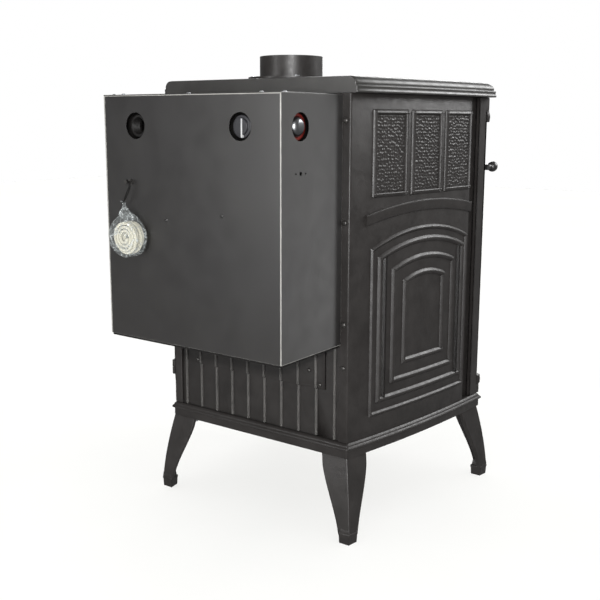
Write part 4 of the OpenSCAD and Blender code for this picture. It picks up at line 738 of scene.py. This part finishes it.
def leg(x, y, sx, sy):
    """A splayed leg: an angle section whose outer line leans out as 2 + 22 (1 - (z / 168)^1.6) and whose faces
    narrow to the ankle half evenly and half as a smooth step, one face turned with the side wall, on a solid
    square foot that tapers to the ground."""
    turn_x = sy * sin(ANGLE)
    z = np.concatenate([np.linspace(21, 146, 15), np.linspace(150, LEG_H, 4)])
    out = 2 + 22 * (1 - (z / LEG_H) ** 1.6)
    w = np.clip((z - 21) / 125, 0, 1)
    wide = 27.5 + 32.5 * (0.5 * w + 0.5 * w * w * (3 - 2 * w))
    thick = np.minimum(9, wide * 0.42)
    o, w, t = out, out - wide, out - thick
    corners = np.stack([np.stack(c, -1) for c in ((o, o), (w, o), (w, t), (t, t), (t, w), (o, w))], 1)
    corners[..., 0] += turn_x * (out[:, None] - corners[..., 1])
    rounded = eased(corners, [2.4, 2, 1, 2, 1, 2], 3)
    limb = np.concatenate([rounded, np.broadcast_to(z[:, None, None], rounded.shape[:2] + (1,))], -1)
    hoof_z = np.array([0, 0.7, 2.2, 16.5, 18.5, 22.0, 23.2, 24.0])
    grow = np.array([-3.2, -2.3, -1.9, -0.9, 0, 0, -0.6, -2.0])
    square = np.array([(24, 24), (-3, 24), (-3, -3), (24, -3)], float)
    square[:, 0] += turn_x * (24 - square[:, 1])
    hoof = moulded(eased(square, 2.2, 3), np.stack([grow, hoof_z], -1))
    parts = [shell(limb, caps=True), shell(hoof, caps=True)]
    ankle = np.array([(23.4, 23.4), (-0.6, 23.4), (-0.6, -0.6), (23.4, -0.6)])
    ankle[:, 0] += turn_x * (24 - ankle[:, 1])
    parts.append(shell(moulded(eased(ankle, 2, 3), [(0, 20), (0, 26), (-1.2, 33), (-4, 38)]), caps=True))
    return [(np.stack([x + sx * p[:, 0], y + sy * p[:, 1], p[:, 2]], -1), q, e) for p, q, e in parts]


for node, place in LEGS.items():
    piece(node + "_cabriole", leg(*place), cast_iron_stove_paint, [node])


# ---------------------------------------------------------------- fasteners
def pan_head(at, axis, wide, tall, cross=True, steps=24):
    """A pan head: height tall (1 - q^3)^0.5 over the share q of its radius, with a cross sunk into its middle."""
    q = np.array([0, 0.12, 0.22, 0.34, 0.42, 0.5, 0.62, 0.75, 0.86, 0.94, 0.985, 1.0, 1.0, 0.6, 0.0])
    h = tall * np.sqrt(np.clip(1 - q ** 3, 0, 1))
    h[12:] = [-0.6, -0.6, -0.6]
    w, u, v = cross_axes(axis, (0.21, 0.1, 0.97))
    a = np.arange(steps) * 2 * pi / steps
    radius = np.broadcast_to(q[:, None], (len(q), steps)) * wide / 2
    heights = np.broadcast_to(h[:, None], radius.shape).copy()
    if cross:
        across = np.minimum(np.abs(radius * np.cos(a)), np.abs(radius * np.sin(a)))
        heights[:12] -= 0.45 * tall * ((across < wide * 0.075) & (q[:, None] < 0.5))[:12]
    around = np.cos(a)[:, None] * u + np.sin(a)[:, None] * v
    return shell(np.asarray(at, float) + radius[..., None] * around + heights[..., None] * w)


FLANGE_Z = [BASE_TOP + h for h in (623, 433, 237, 151)]
flange_heads = [pan_head((side * 219, REAR_Y, z), (0, 1, 0), 11, 4.2, False)
                for side in (-1, 1) for z in FLANGE_Z if side < 0 or z < 385]
piece("flange_bolt_heads", flange_heads, blackened_screw_steel, ["flange_bolts"])
HATCH_AT = [(162.5, 8), (136, 34), (162.5, 84)]
hatch_heads = [pan_head((side * x, 226, HATCH_LOW + z), (0, 1, 0), 9, 3.3) for side in (-1, 1) for x, z in HATCH_AT]
piece("hatch_screw_heads", hatch_heads, blackened_screw_steel, ["hatch_screws"])
LID_AT = [(x, 410) for x in (-169, 0, 169)] + [(side * 209, 397) for side in (-1, 1)]
piece("lid_screw_heads", [pan_head((JACKET_X + x, y, 869.5), (0, 0, 1), 8, 2.1) for x, y in LID_AT],
      zinc_plated_steel, ["jacket_screws"])
piece("back_screw_heads", [pan_head((x, JACKET_Y, z), (0, 1, 0), 7, 1.6) for x, z in ((60, 636), (-79, 652))],
      satin_powder_coat, ["jacket_screws"])

# ---------------------------------------------------------------- pipe sockets and what closes them
def threaded(at, axis, long):
    """A boiler socket: a plain barrel with a chamfered mouth, and inside it fourteen ridges of pipe thread."""
    z = np.linspace(0, 20, 57)
    ridge = 15.1 + 0.55 * np.abs((z * 0.7) % 1 * 2 - 1)
    inner = np.stack([ridge, long - 1.2 - z], -1)
    bore = [(21, 0), (21, long - 0.8), (20.3, long), (16.6, long), (15.6, long - 1)]
    return turned(np.concatenate([bore, inner, [(15.0, long - 21.5), (15.0, 0), (21, 0)]]), at, axis, 48)


REAR_PIPES = {1: (135, 392, SOCKET_Z), -1: (-123, 392, SOCKET_Z)}
SIDE_PIPES = {side: (side * 188, 362.5, SOCKET_Z) for side in (1, -1)}
sockets = [threaded(at, (0, 1, 0), 18) for at in REAR_PIPES.values()]
sockets += [threaded(at, (side, 0, 0), 12) for side, at in SIDE_PIPES.items()]
piece("threaded_sockets", sockets, black_painted_steel, ["pipe_sockets"])
plug_at = np.array(REAR_PIPES[-1])
plug = [(0, 9), (14.6, 9), (14.8, 17.9), (19.4, 18), (20, 18.6), (20, 20.2), (19.2, 21), (15.6, 21.2),
        (15, 21.8), (14.8, 24.4), (14, 25.2), (0, 25.4)]
piece("moulded_plug", [turned(plug, plug_at, (0, 1, 0), 40)], grey_polypropylene, ["socket_plug"])
# the fin is painted pale: a painted highlight on its lit face
piece("plug_fin", [block(plug_at + (-4.6, 20.5, -19), plug_at + (-2.2, 26.8, 14), 0.6)],
      painted_highlight_polypropylene, ["socket_plug"])
vent = [(0, 3), (14.9, 3.2), (15, 12), (17.6, 12.1), (18, 12.6), (17.9, 14.5), (17, 18.5), (15, 22),
        (11.8, 24.8), (9, 26), (7.5, 26.3), (0, 26.35)]
piece("vent_heads", [turned(vent, at, (side, 0, 0), 40) for side, at in SIDE_PIPES.items()],
      chrome_plate, ["vent_valves"])


def ribbed_cap(at, axis):
    """A push-on ring: radius 24 with thirty grip ribs, 6 mm long, round the vent's head."""
    profile = np.array([(18.4, 12.1), (23.4, 12.1), (24, 12.7), (24, 17.2), (23.2, 18), (19.2, 18), (18.4, 17.2),
                        (18.4, 12.1)])
    points, quads, ends = turned(profile, at, axis, 120)
    middle = np.asarray(at, float) + np.asarray(axis, float) * 15
    out = points - middle
    out -= (out @ np.asarray(axis, float))[:, None] * np.asarray(axis, float)
    r = np.linalg.norm(out, axis=1, keepdims=True)
    phase = np.tile(np.arange(120), len(profile))[:, None]
    return points - out / r * 0.7 * (r > 22) * (phase % 4 < 2), quads, ends


piece("red_grip_rings", [ribbed_cap(at, (side, 0, 0)) for side, at in SIDE_PIPES.items()],
      red_polyethylene, ["red_caps"])

# ---------------------------------------------------------------- jacket, back and front castings
corners = [(x, y, w) for x in (-213, 221) for y, w in ((418, 1.0), (228.8, 0.3))]
# the jacket's rounded folds and edges get the lighter finish: partly wear, partly a painted highlight along them
softened("jacket_shell", 3.6, satin_powder_coat, "jacket_sheet", broad=corners, parts=4, wear_and_highlight=wear_and_highlight_powder_coat)
softened("jacket_lid", 0.6, satin_powder_coat, "jacket_lid_sheet")
# the tray is painted black, which also stands in for the shade along the jacket's bottom edge
softened("jacket_base", 0.6, black_painted_steel, "jacket_tray")
RIBS = [(i - 4.5) * 43.7 for i in range(10)]
RIB_SIDES = [x + side * 2.5 for x in RIBS for side in (-1, 1)]
for node, name, wall_y in (("rear_panel", "ribbed_back", 225.5), ("rear_hatch", "ribbed_hatch", 228)):
    softened(node, 2.4, cast_iron_stove_paint, name, broad=[(x, wall_y, 1.0) for x in RIB_SIDES], rest=0)


def back_rib(x, low, high, wall):
    """A cast rib on the back, painted lighter all over, partly as wear on its crest and partly as a painted
    highlight along it: its section is a fourth power curve, wide and tall in mm.
    """
    wide, tall = 5.4, 3.6
    a = np.linspace(0, pi, 15)[:, None]
    across = x + 0.5 * wide * np.sign(np.cos(a)) * np.abs(np.cos(a)) ** 0.5
    out = wall + tall * np.sqrt(np.sin(a)) - np.where((a == 0) | (a == a[-1]), 1.0, 0.0)
    return shell(np.stack(np.broadcast_arrays(across, out, np.array([[low, high]])), -1), caps=True)


ribs = []
for x in RIBS:
    over_hatch = abs(x) < HATCH_HALF
    ribs.append(back_rib(x, BASE_TOP + 1, HATCH_LOW - 1 if over_hatch else HATCH_HIGH, 222.5))
    if over_hatch:
        ribs.append(back_rib(x, HATCH_LOW + 1, HATCH_HIGH - 1, 225))
# the ribs take the lighter paint: partly wear, partly a painted highlight along their crests
piece("back_ribs", ribs, wear_and_highlight_iron_paint, body="stove_body")
softened("front_frame", 2.0, cast_iron_stove_paint, "front_casting", cut=True)
# the lugs that carry the front hinge pins, rounded like the pins' heads and closed up to the blocks beside them
upper_lug = [(0, -0.4), (8, -0.3), (12, 1.2), (14.2, 5), (14.9, 10), (14.6, 15), (13.4, 19), (12.6, 21.5),
             (12.4, 25.2), (0, 25.3)]
lower_lug = [(0, 0), (12.4, 0.1), (13.6, 2), (14.6, 6), (14.9, 11), (14.4, 16), (12.8, 20), (9, 21.4), (0, 21.5)]
piece("front_hinge_lugs",
      [turned(shape, (-278.5, -237.5, z), (0, 0, 1), 40) for shape, z in ((upper_lug, 819), (lower_lug, 219))],
      cast_iron_stove_paint, body="stove_body")
# with no edge named, every long edge of the leaf is rounded alike and the short ones of its small parts aren't
softened("front_door", 1.2, cast_iron_stove_paint, "front_door_leaf", broad=[], rest=1, cut=True)
softened("air_slide", 0.6, cast_iron_stove_paint, "air_slide_plate")
softened("air_rosette", 0.9, cast_iron_stove_paint, "air_rosette_disc")

# ---------------------------------------------------------------- plain finishes on the nodes that keep their shape
KEEP = [
    (cast_iron_stove_paint, "ash_pit grate_frame grate log_guard flue_collar"),
    (black_painted_steel, "boiler_tank front_handle side_handle"),
    (zinc_plated_steel, "ash_pan riddle_rod tie_rods leg_bolts collar_bolts glass_clips front_hinge_pins "
                        "side_hinge_pins front_latch side_latch"),
    (clear_glass_ceramic, "door_glass"),
    (vermiculite_board, "side_bricks rear_bricks baffle"),
    (black_phenolic, "front_grip air_knob"),
    (blackened_screw_steel, "bag_hook"),
]
for finish, nodes in KEEP:
    for node in nodes.split():
        mesh = frame["nodes"][node].data
        mesh.materials.clear()
        mesh.materials.append(finish)

# ---------------------------------------------------------------- floor and light
floor = bpy.data.objects.new("floor", bpy.data.meshes.new("floor"))
u, v = np.meshgrid(np.linspace(-9, 9, 7), np.linspace(-9, 9, 7), indexing="ij")
grid = shell(np.stack([u, v, 0 * u], -1), around=False)
floor.data.from_pydata(grid[0].tolist(), [], grid[1].tolist())
floor.data.materials.append(coated("pale_studio_floor", "#f8f8f6", "#fbfbf9", 900, (0.7, 0.8), [(6, 0.02)]))
floor.visible_glossy = False
bpy.context.scene.collection.objects.link(floor)

scene = bpy.context.scene
scene.view_settings.view_transform = "Standard"
world = scene.world or bpy.data.worlds.new("studio")
scene.world = world
world.use_nodes = True
sky = world.node_tree.nodes["Background"]
sky.inputs[0].default_value = (1, 1, 1, 1)
sky.inputs[1].default_value = 0.3


def white_dome():
    """A dome of radius 14 m whose evenly lit white only the lens sees, so the room stays dim round the stove."""
    a = np.linspace(-0.5 * pi, 0.5 * pi, 25)
    points, quads, ends = turned(np.stack([14 * np.cos(a), 14 * np.sin(a)], -1), (0, 0, 0), (0, 0, 1), 48)
    mesh = bpy.data.meshes.new("white_dome")
    mesh.from_pydata(points.tolist(), [], quads.tolist())
    paper = bpy.data.materials.new("white_paper_dome")
    paper.use_nodes = True
    paper.node_tree.nodes.clear()
    glow = add(paper.node_tree, "ShaderNodeEmission", {"Color": (1, 1, 1, 1), "Strength": 1.0})
    add(paper.node_tree, "ShaderNodeOutputMaterial", {"Surface": glow.outputs[0]})
    mesh.materials.append(paper)
    dome = bpy.data.objects.new("white_dome", mesh)
    dome.visible_diffuse = dome.visible_glossy = dome.visible_transmission = dome.visible_shadow = False
    scene.collection.objects.link(dome)


white_dome()
def lit_group(name, objects, left_out=False):
    """The objects that a light falls on, or with left_out the only ones that it doesn't fall on."""
    members = bpy.data.collections.new(name)
    for o in objects:
        members.objects.link(o)
    for link in members.collection_objects if left_out else ():
        link.light_linking.link_state = "EXCLUDE"
    return members


ribbed = [bpy.data.objects[name] for name in ("ribbed_back", "ribbed_hatch", "back_ribs")]
only_floor = lit_group("only_floor", [floor])
all_but_floor = lit_group("all_but_floor", [floor], True)
only_jacket = lit_group("only_jacket", [bpy.data.objects[name] for name in ("jacket_sheet", "jacket_lid_sheet")])
only_ribs = lit_group("only_ribs", ribbed)
no_ribs = lit_group("no_ribs", ribbed + [floor], True)


def softbox(name, at, aim, size, power, lights=all_but_floor):
    """A soft area light at a point, turned to face another. The floor has its own, so that it stays white."""
    lamp = bpy.data.objects.new(name, bpy.data.lights.new(name, "AREA"))
    lamp.data.shape = "RECTANGLE"
    lamp.data.size, lamp.data.size_y = size
    lamp.data.energy = power
    lamp.data.spread = radians(90)
    lamp.location = at
    lamp.rotation_euler = (Vector(at) - Vector(aim)).to_track_quat("Z", "Y").to_euler()
    lamp.light_linking.receiver_collection = lights
    scene.collection.objects.link(lamp)


softbox("tall_behind_viewer", (-2.2, 2.9, 1.1), (0, 0, 0.5), (0.8, 2.1), 66, no_ribs)
softbox("small_over_viewer", (-1.13, 1.56, 0.95), (0, 0.2, 0.3), (0.3, 0.1), 12, only_ribs)
softbox("tall_behind_jacket", (1.1, 3.1, 0.9), (0, 0.3, 0.6), (0.5, 1.7), 12)
softbox("window_front_left", (-1.8, -2.4, 2.3), (-0.2, 0, 0.8), (2.0, 1.5), 32)
softbox("side_of_jacket", (-2.0, -2.3, 0.2), (-0.2, 0.3, 0.5), (0.9, 1.6), 2.0, only_jacket)
softbox("front_fill", (1.6, -3.0, 1.8), (0, -0.2, 0.5), (1.6, 1.6), 14)
sun = bpy.data.objects.new("even_floor_light", bpy.data.lights.new("even_floor_light", "SUN"))
sun.data.energy = 2.6
sun.data.use_shadow = False
sun.light_linking.receiver_collection = only_floor
scene.collection.objects.link(sun)
